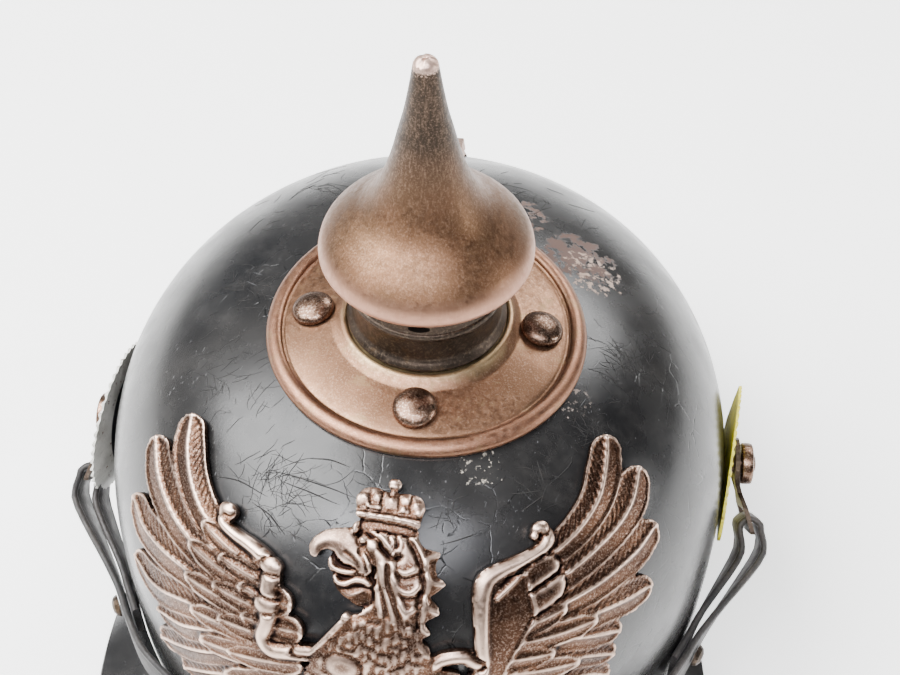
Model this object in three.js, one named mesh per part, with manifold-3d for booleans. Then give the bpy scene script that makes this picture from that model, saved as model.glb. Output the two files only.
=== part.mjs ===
// A leather parade helmet with a metal spike, a griffin plate, two cockades and a chin strap.
// Units are millimetres. +Z is up, the front is -Y, and the viewer's right is +X.
// The helmet stands on the edges of its two visors, at z = 0. The spike turns about its own axis,
// and the knob on the rear spine slides along its housing.

import * as THREE from "three";
import { mergeVertices } from "three/addons/utils/BufferGeometryUtils.js";
import Module from "manifold-3d";

const wasm = await Module();
wasm.setup();

// Shell
const SHELL_HALF_WIDTH = 95;
const SHELL_HALF_LENGTH = 106;
const SHELL_HEIGHT = 110.8;
const SHELL_WALL = 2.6;
const SHELL_BASE_HEIGHT = 26;
const CROWN_FORWARD = 14.6;
const SHELL_SEGMENTS = 40;
const SHELL_RINGS = 12;

// Running clearance between neighbours
const GAP = 0.3;

// Visors
const VISOR_OVERALL_REACH = 150;
const FRONT_VISOR_ANGLE = 66;
const REAR_VISOR_ANGLE = 74;
const FRONT_VISOR_THICKNESS = 2.2;
const REAR_VISOR_THICKNESS = 2.4;
const VISOR_RISE_ON_SHELL = 3;
const VISOR_END_WIDTH = 4;
const VISOR_CURVE_POWER = 1.8;
const VISOR_FULL_FALL_SPREAD = 0.8;
const VISOR_COLUMNS = 24;
const TRIM_WALL = 0.7;
const TRIM_ARM = 4;
const TRIM_NOSE = 1.8;
const TRIM_CLEARANCE = 0.5;
const TRIM_FOOT_START = 0.4;
const TRIM_NOSE_CHAMFER = 1.2;
const TRIM_CORNER_WALL = 0.2;
const TRIM_END_COLUMNS = 2;

// Spike, its collar and its base plate
const SPIKE_SIDE_OFFSET = 3.3;
const PLATE_RADIUS = 43.4;
const PLATE_THICKNESS = 1.2;
const PLATE_BEAD = 1.7;
const PLATE_FOOT_RING = 0.7;
const COLLAR_RADIUS = 21.8;
const COLLAR_HEIGHT = 22.4;
const COLLAR_WALL = 1.4;
const SPIKE_BULB_RADIUS = 27.5;
const SPIKE_HEIGHT = 61.2;
const SPIKE_WALL = 1.2;
const SPIKE_FOOT_OPENING = 8;
const RIVET_CIRCLE_RADIUS = 30.9;
const RIVET_RADIUS = 5.8;
const RIVET_HEIGHT = 3.4;

// Rear spine with its sliding vent
const SPINE_WIDTH = 12;
const SPINE_THICKNESS = 1.5;
const SPINE_PLATE_CLEARANCE = 2;
const SPINE_SHELL_STEPS = 16;
const SPINE_BEND_RUN = 14;
const SPINE_VISOR_SHARES = [0.12, 0.25, 0.5, 0.75, 0.93];
const VENT_PLACE = 108;
const VENT_HOUSING_HEIGHT = 1.2;
const VENT_SLIDER_LENGTH = 16;
const VENT_SLIDER_WIDTH = 9;
const VENT_SLIDER_THICKNESS = 1;
const VENT_KNOB_RADIUS = 3.4;
const VENT_KNOB_HEIGHT = 5;
const VENT_TRAVEL = 8;
const VENT_END_MARGIN = 2;
const VENT_HOUSING_LENGTH = VENT_SLIDER_LENGTH + 2 * (VENT_TRAVEL + VENT_END_MARGIN);
const SPINE_STUD_RADIUS = 3.6;

// Side fittings
const POST_HEIGHT_ON_SHELL = 36.9;
const POST_SHAFT_RADIUS = 3;
const POST_HEAD_RADIUS = 6.4;
const POST_HEAD_LENGTH = 4;
const COCKADE_RADIUS = 24.4;
const COCKADE_THICKNESS = 1;
const COCKADE_DISH = 1.5;
const CONNECTOR_THICKNESS = 1.4;
const CONNECTOR_LENGTH = 17;
const CONNECTOR_SWING = 50;
const CONNECTOR_EYE_RADIUS = 8;
const CONNECTOR_BEND_START = 5;
const CONNECTOR_BEND_SLOPE = 0.3;
const LOOP_WIDTH = 21;
const LOOP_HEIGHT = 8;
const LOOP_BAR = 2.6;

// Chin strap
const STRAP_WIDTH = 15;
const STRAP_THICKNESS = 2;
const STRAP_HEIGHT_ON_SHELL = 11.5;
const STRAP_CLEARANCE = 0.8;
const STRAP_LEAD = 9;
const STRAP_TUCK_ANGLE = 57;
const STRAP_STUD_ANGLE = 61;
const STRAP_STUD_RADIUS = 3.4;
const BUCKLE_ANGLE = 32;
const BUCKLE_LENGTH = 18;
const BUCKLE_HEIGHT = 21;
const BUCKLE_BAR = 2.2;
const BUCKLE_THICKNESS = 2.2;

// Griffin plate
const RELIEF_STANDOFF = 1;
const RELIEF_SHEET = 0.9;

const toRadians = THREE.MathUtils.degToRad;

const lacqueredLeather = new THREE.MeshStandardMaterial({ color: 0x17181a, roughness: 0.28 });
const strapLeather = new THREE.MeshStandardMaterial({ color: 0x33302e, roughness: 0.7 });
const spikeSteel = new THREE.MeshStandardMaterial({ color: 0x6b564e, roughness: 0.42, metalness: 0.9 });
const plateSteel = new THREE.MeshStandardMaterial({ color: 0x8a6b5c, roughness: 0.5, metalness: 0.85 });
const griffinMetal = new THREE.MeshStandardMaterial({ color: 0x6a3f38, roughness: 0.45, metalness: 0.85 });
const darkSteel = new THREE.MeshStandardMaterial({ color: 0x4a3a33, roughness: 0.5, metalness: 0.85 });
const yellowPaint = new THREE.MeshStandardMaterial({ color: 0xd8cc3a, roughness: 0.55 });
const whitePaint = new THREE.MeshStandardMaterial({ color: 0xcfcdc6, roughness: 0.55 });

const helmet = new THREE.Group();

function addPiece(name, geometry, material, parent = helmet) {
  const mesh = new THREE.Mesh(geometry, material);
  mesh.name = name;
  parent.add(mesh);
  return mesh;
}

// Closed solids from points and faces

function geometryFrom(points, triangles) {
  const geometry = new THREE.BufferGeometry();
  geometry.setAttribute("position", new THREE.Float32BufferAttribute(points.flatMap((p) => p.toArray()), 3));
  geometry.setIndex(triangles.flat());
  geometry.computeVertexNormals();
  return geometry;
}

// Joins a row of equal sections, end to end, into one solid with flat ends.
function loftSections(sections) {
  const count = sections[0].length;
  const points = sections.flat();
  const triangles = [];
  for (let row = 0; row < sections.length - 1; row += 1) {
    for (let i = 0; i < count; i += 1) {
      const a = row * count + i;
      const b = row * count + ((i + 1) % count);
      triangles.push([a, b, b + count], [a, b + count, a + count]);
    }
  }
  const capTriangles = (offset, flip) => {
    const section = sections[offset === 0 ? 0 : sections.length - 1];
    for (const face of triangulateSection(section)) {
      const shifted = face.map((index) => index + offset);
      triangles.push(flip ? shifted.reverse() : shifted);
    }
  };
  capTriangles(0, true);
  capTriangles((sections.length - 1) * count, false);
  return outward(geometryFrom(points, triangles));
}

// Splits one flat section, given as points in space, into triangles.
function triangulateSection(section) {
  const normal = new THREE.Vector3();
  section.forEach((point, i) => {
    normal.add(new THREE.Vector3().crossVectors(point, section[(i + 1) % section.length]));
  });
  normal.normalize();
  const side = new THREE.Vector3().subVectors(section[1], section[0]).normalize();
  const up = new THREE.Vector3().crossVectors(normal, side);
  const flat = section.map((point) => new THREE.Vector2(point.dot(side), point.dot(up)));
  return THREE.ShapeUtils.triangulateShape(flat, []);
}

// A sheet from two equal grids of points, top and bottom, each a list of rows.
function sheetSolid(top, bottom) {
  const rows = top.length;
  const columns = top[0].length;
  const points = [...top.flat(), ...bottom.flat()];
  const below = rows * columns;
  const triangles = [];
  const quad = (a, b, c, d) => triangles.push([a, b, c], [a, c, d]);
  for (let r = 0; r < rows - 1; r += 1) {
    for (let c = 0; c < columns - 1; c += 1) {
      const a = r * columns + c;
      quad(a, a + 1, a + columns + 1, a + columns);
      quad(below + a, below + a + columns, below + a + columns + 1, below + a + 1);
    }
  }
  for (let c = 0; c < columns - 1; c += 1) {
    const last = (rows - 1) * columns + c;
    quad(c + 1, c, below + c, below + c + 1);
    quad(last, last + 1, below + last + 1, below + last);
  }
  for (let r = 0; r < rows - 1; r += 1) {
    const a = r * columns;
    const b = a + columns - 1;
    quad(a, a + columns, below + a + columns, below + a);
    quad(b + columns, b, below + b, below + b + columns);
  }
  return outward(geometryFrom(points, triangles));
}

function signedVolume(geometry) {
  const position = geometry.getAttribute("position");
  const index = geometry.getIndex().array;
  const corner = [new THREE.Vector3(), new THREE.Vector3(), new THREE.Vector3()];
  let volume = 0;
  for (let i = 0; i < index.length; i += 3) {
    corner.forEach((point, k) => point.fromBufferAttribute(position, index[i + k]));
    volume += corner[0].dot(corner[1].clone().cross(corner[2])) / 6;
  }
  return volume;
}

// Turns the faces of a closed solid so that they point out.
function outward(geometry) {
  if (signedVolume(geometry) < 0) {
    const index = geometry.getIndex().array;
    for (let i = 0; i < index.length; i += 3) {
      const first = index[i];
      index[i] = index[i + 2];
      index[i + 2] = first;
    }
  }
  return geometry;
}

function toManifold(geometry) {
  const bare = geometry.clone();
  bare.deleteAttribute("normal");
  bare.deleteAttribute("uv");
  const merged = mergeVertices(bare, 1e-5);
  return new wasm.Manifold(new wasm.Mesh({
    numProp: 3,
    vertProperties: new Float32Array(merged.getAttribute("position").array),
    triVerts: new Uint32Array(merged.getIndex().array),
  }));
}

function fromManifold(solid) {
  const mesh = solid.getMesh();
  const geometry = new THREE.BufferGeometry();
  geometry.setAttribute("position", new THREE.BufferAttribute(mesh.vertProperties, 3));
  geometry.setIndex(new THREE.BufferAttribute(mesh.triVerts, 1));
  geometry.computeVertexNormals();
  return geometry;
}

function joinAll(geometries) {
  return fromManifold(geometries.map(toManifold).reduce((sum, next) => sum.add(next)));
}

// A turned piece whose axis is Y, as the lathe makes it. Profile entries are [radius, height].
function turned(profile, segments = 32) {
  return new THREE.LatheGeometry(profile.map(([r, h]) => new THREE.Vector2(r, h)), segments);
}

// Shell surface

// The shell's profile: its width shrinks as sqrt(1 - t^4) while the height share t runs from 0 to 1.
class ShellProfile extends THREE.Curve {
  getPoint(k, target = new THREE.Vector3()) {
    const angle = (Math.PI / 2) * k * k;
    return target.set(SHELL_HALF_LENGTH * Math.cos(angle), SHELL_HEIGHT * Math.sqrt(Math.sin(angle)), 0);
  }
}

const shellProfile = new ShellProfile();
shellProfile.arcLengthDivisions = 800;
const PROFILE_LENGTH = shellProfile.getLength();

// The point of the shell's outer face at an angle from the front and a run up from the lower edge.
function shellPoint(degrees, run, offset = 0) {
  const spot = shellProfile.getPointAt(THREE.MathUtils.clamp(run / PROFILE_LENGTH, 0, 1));
  const widthShare = spot.x / SHELL_HALF_LENGTH;
  const heightShare = spot.y / SHELL_HEIGHT;
  const angle = toRadians(degrees);
  return new THREE.Vector3(
    (SHELL_HALF_WIDTH + offset) * widthShare * Math.sin(angle),
    -CROWN_FORWARD * heightShare ** 4 - (SHELL_HALF_LENGTH + offset) * widthShare * Math.cos(angle),
    SHELL_BASE_HEIGHT + (SHELL_HEIGHT + offset) * heightShare,
  );
}

function shellNormal(degrees, run) {
  const step = 0.5;
  const across = shellPoint(degrees + step, run).sub(shellPoint(degrees - step, run));
  const upward = shellPoint(degrees, run + step).sub(shellPoint(degrees, run - step));
  return across.cross(upward).normalize();
}

// The height of the shell's outer face over a point seen from above.
function shellHeightAt(x, y) {
  let share = 0.95;
  for (let pass = 0; pass < 30; pass += 1) {
    const centre = -CROWN_FORWARD * share ** 4;
    const fill = (x / SHELL_HALF_WIDTH) ** 2 + ((y - centre) / SHELL_HALF_LENGTH) ** 2;
    share = Math.max(1 - fill, 0) ** 0.25;
  }
  return SHELL_BASE_HEIGHT + SHELL_HEIGHT * share;
}

function runAtHeight(heightOnShell) {
  let low = 0;
  let high = PROFILE_LENGTH;
  for (let pass = 0; pass < 40; pass += 1) {
    const middle = (low + high) / 2;
    if (shellProfile.getPointAt(middle / PROFILE_LENGTH).y < heightOnShell) low = middle;
    else high = middle;
  }
  return low;
}

function makeShell() {
  const points = [];
  const triangles = [];
  const addLayer = (offset) => {
    const start = points.length;
    for (let ring = 0; ring < SHELL_RINGS; ring += 1) {
      const run = (PROFILE_LENGTH * ring) / SHELL_RINGS;
      for (let i = 0; i < SHELL_SEGMENTS; i += 1) {
        points.push(shellPoint((360 * i) / SHELL_SEGMENTS, run, offset));
      }
    }
    points.push(shellPoint(0, PROFILE_LENGTH, offset));
    return start;
  };
  const outer = addLayer(0);
  const inner = addLayer(-SHELL_WALL);
  const next = (i) => (i + 1) % SHELL_SEGMENTS;
  for (let i = 0; i < SHELL_SEGMENTS; i += 1) {
    for (let ring = 0; ring < SHELL_RINGS - 1; ring += 1) {
      const low = ring * SHELL_SEGMENTS;
      const a = outer + low;
      const b = inner + low;
      const aboveA = a + SHELL_SEGMENTS;
      const aboveB = b + SHELL_SEGMENTS;
      triangles.push([a + i, a + next(i), aboveA + next(i)], [a + i, aboveA + next(i), aboveA + i]);
      triangles.push([b + next(i), b + i, aboveB + i], [b + next(i), aboveB + i, aboveB + next(i)]);
    }
    const top = (SHELL_RINGS - 1) * SHELL_SEGMENTS;
    const pole = SHELL_RINGS * SHELL_SEGMENTS;
    triangles.push([outer + top + i, outer + top + next(i), outer + pole]);
    triangles.push([inner + top + next(i), inner + top + i, inner + pole]);
    triangles.push([outer + next(i), outer + i, inner + i], [outer + next(i), inner + i, inner + next(i)]);
  }
  return outward(geometryFrom(points, triangles));
}

addPiece("shell", makeShell(), lacqueredLeather);

// Visors

// How far a visor stands out at a share (0 to 1) of its half angle away from its middle.
function visorSpread(share) {
  return Math.cos((Math.PI / 2) * Math.min(share, 1) ** VISOR_CURVE_POWER);
}

// Points of a visor: middle angle, half angle, reach, and the height of the edge's top above the floor.
function visorGrid(visor, outShares) {
  const rows = outShares.map(() => []);
  const fullFall = SHELL_BASE_HEIGHT + VISOR_RISE_ON_SHELL - visor.edgeTop;
  for (let column = 0; column <= VISOR_COLUMNS; column += 1) {
    const share = (2 * column) / VISOR_COLUMNS - 1;
    const degrees = visor.middle + visor.halfAngle * share;
    const spread = visorSpread(Math.abs(share));
    const reach = VISOR_END_WIDTH + (visor.reach - VISOR_END_WIDTH) * spread;
    const fall = fullFall * Math.min(1, spread / VISOR_FULL_FALL_SPREAD);
    const out = new THREE.Vector3(Math.sin(toRadians(degrees)), -Math.cos(toRadians(degrees)), 0);
    outShares.forEach((outShare, row) => {
      const point = shellPoint(degrees, 0, GAP).addScaledVector(out, reach * outShare);
      point.z = SHELL_BASE_HEIGHT + VISOR_RISE_ON_SHELL - fall * outShare;
      rows[row].push(point);
    });
  }
  return rows;
}

function lowered(rows, amount) {
  const drop = (point) => new THREE.Vector3(point.x, point.y, Math.max(point.z - amount, 0));
  return rows.map((row) => row.map(drop));
}

const trimHalfGap = FRONT_VISOR_THICKNESS / 2 + TRIM_CLEARANCE;
const visorReach = VISOR_OVERALL_REACH - SHELL_HALF_LENGTH - GAP;
const frontVisor = {
  middle: 0, halfAngle: FRONT_VISOR_ANGLE, reach: visorReach - TRIM_NOSE, edgeTop: 0, slope: 0,
};
frontVisor.slope = Math.atan2(SHELL_BASE_HEIGHT, frontVisor.reach);
const verticalThickness = FRONT_VISOR_THICKNESS / Math.cos(frontVisor.slope);

// The visor's edge face is upright, so its lower corner reaches this far into the channel.
const trimDepth = (verticalThickness / 2) * Math.sin(frontVisor.slope) + GAP;

// Where the flat foot begins: on a steep visor farther out, so that the channel's corner keeps its wall.
function trimFootStart(slope) {
  return Math.max(TRIM_FOOT_START, trimDepth - (TRIM_WALL - TRIM_CORNER_WALL) / Math.tan(slope));
}

const trimFootDrop = trimFootStart(frontVisor.slope) * Math.sin(frontVisor.slope)
  + (trimHalfGap + TRIM_WALL) * Math.cos(frontVisor.slope);
frontVisor.edgeTop = trimFootDrop + verticalThickness / 2;

const frontRows = visorGrid(frontVisor, [0, 0.25, 0.5, 0.75, 1]);
addPiece("front_visor", sheetSolid(frontRows, lowered(frontRows, verticalThickness)), lacqueredLeather);

// A steel channel that clasps the front visor's edge, with a flat foot that meets the floor.
function makeFrontTrim() {
  const withoutEnds = (row) => row.slice(TRIM_END_COLUMNS, -TRIM_END_COLUMNS);
  const [inner, edge] = visorGrid(frontVisor, [0.75, 1]).map(withoutEnds);
  const half = trimHalfGap;
  const outer = half + TRIM_WALL;
  const sections = edge.map((point, i) => {
    const down = new THREE.Vector3().subVectors(point, inner[i]).normalize();
    const ahead = new THREE.Vector3().subVectors(
      edge[Math.min(i + 1, edge.length - 1)],
      edge[Math.max(i - 1, 0)],
    ).normalize();
    const up = new THREE.Vector3().crossVectors(down, ahead).normalize();
    if (up.z < 0) up.negate();
    const slope = Math.asin(-down.z);
    const footStart = trimFootStart(slope);
    const noseFoot = -outer + (TRIM_NOSE - footStart) * Math.tan(slope);
    const noseRun = (TRIM_NOSE - footStart) / (trimDepth - footStart);
    const chamfer = Math.min(TRIM_NOSE_CHAMFER, (TRIM_WALL - TRIM_CORNER_WALL) * noseRun);
    const profile = [
      [-TRIM_ARM, outer], [footStart, outer], [TRIM_NOSE, outer - chamfer],
      [TRIM_NOSE, noseFoot], [footStart, -outer], [-TRIM_ARM, -outer],
      [-TRIM_ARM, -half], [trimDepth, -half], [trimDepth, half], [-TRIM_ARM, half],
    ];
    const middle = new THREE.Vector3(point.x, point.y, point.z - verticalThickness / 2);
    return profile.map(([along, height]) => (
      middle.clone().addScaledVector(down, along).addScaledVector(up, height)
    ));
  });
  return loftSections(sections);
}

addPiece("front_visor_trim", makeFrontTrim(), darkSteel);

const rearVisor = { middle: 180, halfAngle: REAR_VISOR_ANGLE, reach: visorReach, edgeTop: 1.6 };
const rearFall = SHELL_BASE_HEIGHT + VISOR_RISE_ON_SHELL - rearVisor.edgeTop;
const rearUprightThickness = REAR_VISOR_THICKNESS * Math.hypot(1, rearFall / rearVisor.reach);
// From this share of the reach outward the underside lies flat on the floor.
const rearFootShare = (SHELL_BASE_HEIGHT + VISOR_RISE_ON_SHELL - rearUprightThickness) / rearFall;
const rearRows = visorGrid(rearVisor, [0, 0.25, 0.5, 0.75, rearFootShare, 1]);
addPiece("rear_visor", sheetSolid(rearRows, lowered(rearRows, rearUprightThickness)), lacqueredLeather);

// Spike base plate, rivets, collar and spike

const spikeAxis = new THREE.Vector2(SPIKE_SIDE_OFFSET, -CROWN_FORWARD);
const plateFlatHeight = SHELL_BASE_HEIGHT + SHELL_HEIGHT + GAP + PLATE_THICKNESS;

function makeBasePlate() {
  const segments = 40;
  const flatRadius = COLLAR_RADIUS + 0.7;
  const ringTop = plateFlatHeight + PLATE_FOOT_RING;
  // Each entry is [radius, rise over the plate's own face, flat height or null].
  const rings = [
    [flatRadius, 0, plateFlatHeight], [flatRadius + 0.5, 0, ringTop], [flatRadius + 1.5, 0, ringTop - 0.2],
    [flatRadius + 2.3, 0, null], [RIVET_CIRCLE_RADIUS, 0, null], [PLATE_RADIUS - 5.2, -0.2, null],
    [PLATE_RADIUS - 3.8, 1.1, null], [PLATE_RADIUS - 2.2, PLATE_BEAD, null], [PLATE_RADIUS - 0.6, 1.1, null],
    [PLATE_RADIUS, 0, null],
  ];
  const points = [];
  const triangles = [];
  const place = (radius, i) => {
    const angle = (2 * Math.PI * i) / segments;
    return [spikeAxis.x + radius * Math.cos(angle), spikeAxis.y + radius * Math.sin(angle)];
  };
  const addRing = (radius, heightAt) => {
    for (let i = 0; i < segments; i += 1) {
      const [x, y] = place(radius, i);
      points.push(new THREE.Vector3(x, y, heightAt(x, y)));
    }
  };
  rings.forEach(([radius, rise, flat]) => {
    addRing(radius, (x, y) => flat ?? shellHeightAt(x, y) + GAP + PLATE_THICKNESS + rise);
  });
  const underRadii = [PLATE_RADIUS, PLATE_RADIUS - 12, COLLAR_RADIUS / 2];
  underRadii.forEach((radius) => addRing(radius, (x, y) => shellHeightAt(x, y) + GAP + 0.1));
  const total = rings.length + underRadii.length;
  for (let ring = 0; ring < total - 1; ring += 1) {
    for (let i = 0; i < segments; i += 1) {
      const a = ring * segments + i;
      const b = ring * segments + ((i + 1) % segments);
      triangles.push([a, b, b + segments], [a, b + segments, a + segments]);
    }
  }
  const topCentre = points.length;
  points.push(new THREE.Vector3(spikeAxis.x, spikeAxis.y, plateFlatHeight));
  points.push(new THREE.Vector3(spikeAxis.x, spikeAxis.y, shellHeightAt(...spikeAxis.toArray()) + GAP + 0.1));
  const lastRing = (total - 1) * segments;
  for (let i = 0; i < segments; i += 1) {
    const next = (i + 1) % segments;
    triangles.push([topCentre, next, i]);
    triangles.push([topCentre + 1, lastRing + i, lastRing + next]);
  }
  return outward(geometryFrom(points, triangles));
}

addPiece("base_plate", makeBasePlate(), plateSteel);

function makeRivet(radius, height) {
  return turned([
    [0, 0], [radius, 0], [radius, height * 0.2], [radius * 0.85, height * 0.62],
    [radius * 0.48, height * 0.92], [0, height],
  ], 14);
}

// Puts a turned piece on a point, with its axis along a direction.
function standOn(mesh, point, direction) {
  mesh.position.copy(point);
  mesh.quaternion.setFromUnitVectors(new THREE.Vector3(0, 1, 0), direction);
  return mesh;
}

for (let i = 0; i < 4; i += 1) {
  const angle = -Math.PI / 2 + (i * Math.PI) / 2;
  const heightAt = (radius) => shellHeightAt(
    spikeAxis.x + radius * Math.cos(angle),
    spikeAxis.y + radius * Math.sin(angle),
  );
  const fall = (heightAt(RIVET_CIRCLE_RADIUS + 3) - heightAt(RIVET_CIRCLE_RADIUS - 3)) / 6;
  const normal = new THREE.Vector3(-fall * Math.cos(angle), -fall * Math.sin(angle), 1).normalize();
  const seat = new THREE.Vector3(
    spikeAxis.x + RIVET_CIRCLE_RADIUS * Math.cos(angle),
    spikeAxis.y + RIVET_CIRCLE_RADIUS * Math.sin(angle),
    heightAt(RIVET_CIRCLE_RADIUS) + GAP + PLATE_THICKNESS + GAP,
  );
  standOn(addPiece(`base_rivet_${i + 1}`, makeRivet(RIVET_RADIUS, RIVET_HEIGHT), darkSteel), seat, normal);
}

const collarFoot = plateFlatHeight + GAP;
const collarBead = 0.9;
const collarInner = COLLAR_RADIUS - 1.2 - COLLAR_WALL;
const collar = addPiece("spike_collar", turned([
  [collarInner, 0], [COLLAR_RADIUS, 0], [COLLAR_RADIUS + 0.5, 1.2], [COLLAR_RADIUS - 0.6, 2.6],
  [COLLAR_RADIUS - 1.2, 4], [COLLAR_RADIUS - 1.2, 10], [COLLAR_RADIUS - 1.2 + collarBead, 11.2],
  [COLLAR_RADIUS - 1.2 + collarBead, 12.8], [COLLAR_RADIUS - 1.2, 14], [COLLAR_RADIUS - 1.2, COLLAR_HEIGHT],
  [collarInner, COLLAR_HEIGHT], [collarInner, 0],
], 28), darkSteel);
collar.position.set(spikeAxis.x, spikeAxis.y, collarFoot);
collar.rotation.x = Math.PI / 2;

// The spike's outline, as shares of the bulb's radius and of the spike's height.
const SPIKE_OUTLINE = [
  { radius: 0.82, height: 0 }, { radius: 0.93, height: 0.008 }, { radius: 0.985, height: 0.026 },
  { radius: 1, height: 0.052 }, { radius: 0.965, height: 0.112 }, { radius: 0.885, height: 0.176 },
  { radius: 0.775, height: 0.242 }, { radius: 0.65, height: 0.308 }, { radius: 0.535, height: 0.372 },
  { radius: 0.435, height: 0.438 }, { radius: 0.355, height: 0.504 }, { radius: 0.295, height: 0.578 },
  { radius: 0.242, height: 0.66 }, { radius: 0.196, height: 0.742 }, { radius: 0.16, height: 0.824 },
  { radius: 0.131, height: 0.9 }, { radius: 0.11, height: 0.96 }, { radius: 0.086, height: 0.988 },
  { radius: 0.04, height: 1 },
];

function makeSpike() {
  const outer = SPIKE_OUTLINE.map((entry) => [entry.radius * SPIKE_BULB_RADIUS, entry.height * SPIKE_HEIGHT]);
  const hollowTopRadius = SPIKE_BULB_RADIUS * 0.22;
  const deepEnough = ([radius, height], i) => i % 2 === 1 && radius > hollowTopRadius && height > SPIKE_WALL;
  const hollow = outer.filter(deepEnough);
  const inner = hollow.map(([radius, height]) => [radius - SPIKE_WALL, height]).reverse();
  const floorRadius = outer[1][0] - SPIKE_WALL;
  return turned([
    [SPIKE_FOOT_OPENING, 0], ...outer, [0, SPIKE_HEIGHT],
    [0, inner[0][1]], ...inner, [floorRadius, SPIKE_WALL], [SPIKE_FOOT_OPENING, SPIKE_WALL],
    [SPIKE_FOOT_OPENING, 0],
  ], 28);
}

const spikeFoot = collarFoot + COLLAR_HEIGHT + GAP;
const spike = addPiece("spike", makeSpike(), spikeSteel);
spike.position.set(spikeAxis.x, spikeAxis.y, spikeFoot);
spike.rotation.x = Math.PI / 2;

// Rear spine

// A strip laid down the middle of the back, with its section given as [side, height] pairs.
function backStrip(stations, profileAt) {
  const sections = stations.map((station, i) => {
    const before = stations[Math.max(i - 1, 0)].point;
    const after = stations[Math.min(i + 1, stations.length - 1)].point;
    const along = new THREE.Vector3().subVectors(after, before).normalize();
    const side = new THREE.Vector3(1, 0, 0);
    const up = new THREE.Vector3().crossVectors(side, along).normalize();
    if (up.y < 0) up.negate();
    return profileAt(station, up).map(([across, height]) => (
      station.point.clone().addScaledVector(side, across).addScaledVector(up, height)
    ));
  });
  return loftSections(sections);
}

const spineHalf = SPINE_WIDTH / 2;
const spineStrip = [
  [-spineHalf, 0], [-spineHalf + 0.6, SPINE_THICKNESS * 0.65], [-SPINE_WIDTH * 0.2, SPINE_THICKNESS],
  [SPINE_WIDTH * 0.2, SPINE_THICKNESS], [spineHalf - 0.6, SPINE_THICKNESS * 0.65], [spineHalf, 0],
];

// The run up the back at which the base plate's rim is cleared.
function spineTopRun() {
  const limit = spikeAxis.y + PLATE_RADIUS + SPINE_PLATE_CLEARANCE;
  let run = PROFILE_LENGTH;
  while (shellPoint(180, run).y < limit) run -= 0.5;
  return run;
}

const spineStations = [];
const spineTop = spineTopRun();
for (let i = 0; i <= SPINE_SHELL_STEPS; i += 1) {
  const run = spineTop + (SPINE_BEND_RUN - spineTop) * (i / SPINE_SHELL_STEPS);
  spineStations.push({ point: shellPoint(180, run, GAP * 2), run });
}
const visorBack = new THREE.Vector3(0, SHELL_HALF_LENGTH, SHELL_BASE_HEIGHT + VISOR_RISE_ON_SHELL);
const visorSlope = Math.atan2(SHELL_BASE_HEIGHT + VISOR_RISE_ON_SHELL - rearVisor.edgeTop, rearVisor.reach);
for (const share of SPINE_VISOR_SHARES) {
  const out = visorBack.clone();
  out.y += GAP + rearVisor.reach * share + Math.sin(visorSlope) * GAP;
  out.z -= rearVisor.reach * share * Math.tan(visorSlope) - GAP * 1.3;
  spineStations.push({ point: out, run: 0 });
}
addPiece("rear_spine", backStrip(spineStations, () => spineStrip), plateSteel);

// Sliding vent on the spine: a flat-topped housing and a slider with a knob

const ventCentre = shellPoint(180, VENT_PLACE, GAP * 2);
const ventUp = shellNormal(180, VENT_PLACE);
ventUp.x = 0;
ventUp.normalize();
const ventBed = SPINE_THICKNESS + GAP + VENT_HOUSING_HEIGHT;
const ventPlane = ventCentre.clone().addScaledVector(ventUp, ventBed);

function makeVentHousing() {
  const steps = 8;
  const half = SPINE_WIDTH / 2;
  const sections = [];
  for (let i = 0; i <= steps; i += 1) {
    const run = VENT_PLACE + VENT_HOUSING_LENGTH * (i / steps - 0.5);
    const foot = shellPoint(180, run, GAP * 2);
    const up = shellNormal(180, run);
    const seat = foot.clone().addScaledVector(up, SPINE_THICKNESS + GAP);
    const reach = ventPlane.clone().sub(seat).dot(ventUp) / up.dot(ventUp);
    const top = seat.clone().addScaledVector(up, reach);
    const corner = (point, x) => new THREE.Vector3(x, point.y, point.z);
    const topHalf = half - 0.8;
    sections.push([corner(seat, -half), corner(top, -topHalf), corner(top, topHalf), corner(seat, half)]);
  }
  return loftSections(sections);
}

addPiece("vent_housing", makeVentHousing(), plateSteel);

function makeVentSlider() {
  const slab = new THREE.BoxGeometry(VENT_SLIDER_WIDTH, VENT_SLIDER_THICKNESS, VENT_SLIDER_LENGTH);
  slab.translate(0, VENT_SLIDER_THICKNESS / 2, 0);
  const radius = VENT_KNOB_RADIUS;
  const knob = turned([
    [0, VENT_SLIDER_THICKNESS / 2], [radius * 0.6, VENT_SLIDER_THICKNESS / 2], [radius * 0.6, 2.2],
    [radius, 3], [radius, 4], [radius * 0.6, VENT_KNOB_HEIGHT - 0.2], [0, VENT_KNOB_HEIGHT],
  ], 14);
  return joinAll([slab, knob]);
}

const slider = addPiece("vent_slider", makeVentSlider(), darkSteel);
standOn(slider, ventPlane.clone().addScaledVector(ventUp, GAP), ventUp);

const studStation = spineStations[spineStations.length - 2];
const studUp = new THREE.Vector3(0, Math.sin(visorSlope), Math.cos(visorSlope));
const studSeat = studStation.point.clone().addScaledVector(studUp, SPINE_THICKNESS + GAP);
standOn(addPiece("spine_stud", makeRivet(SPINE_STUD_RADIUS, 2.2), darkSteel), studSeat, studUp);

// Cockades, posts and strap connectors, on both sides

const postRun = runAtHeight(POST_HEIGHT_ON_SHELL);

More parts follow.
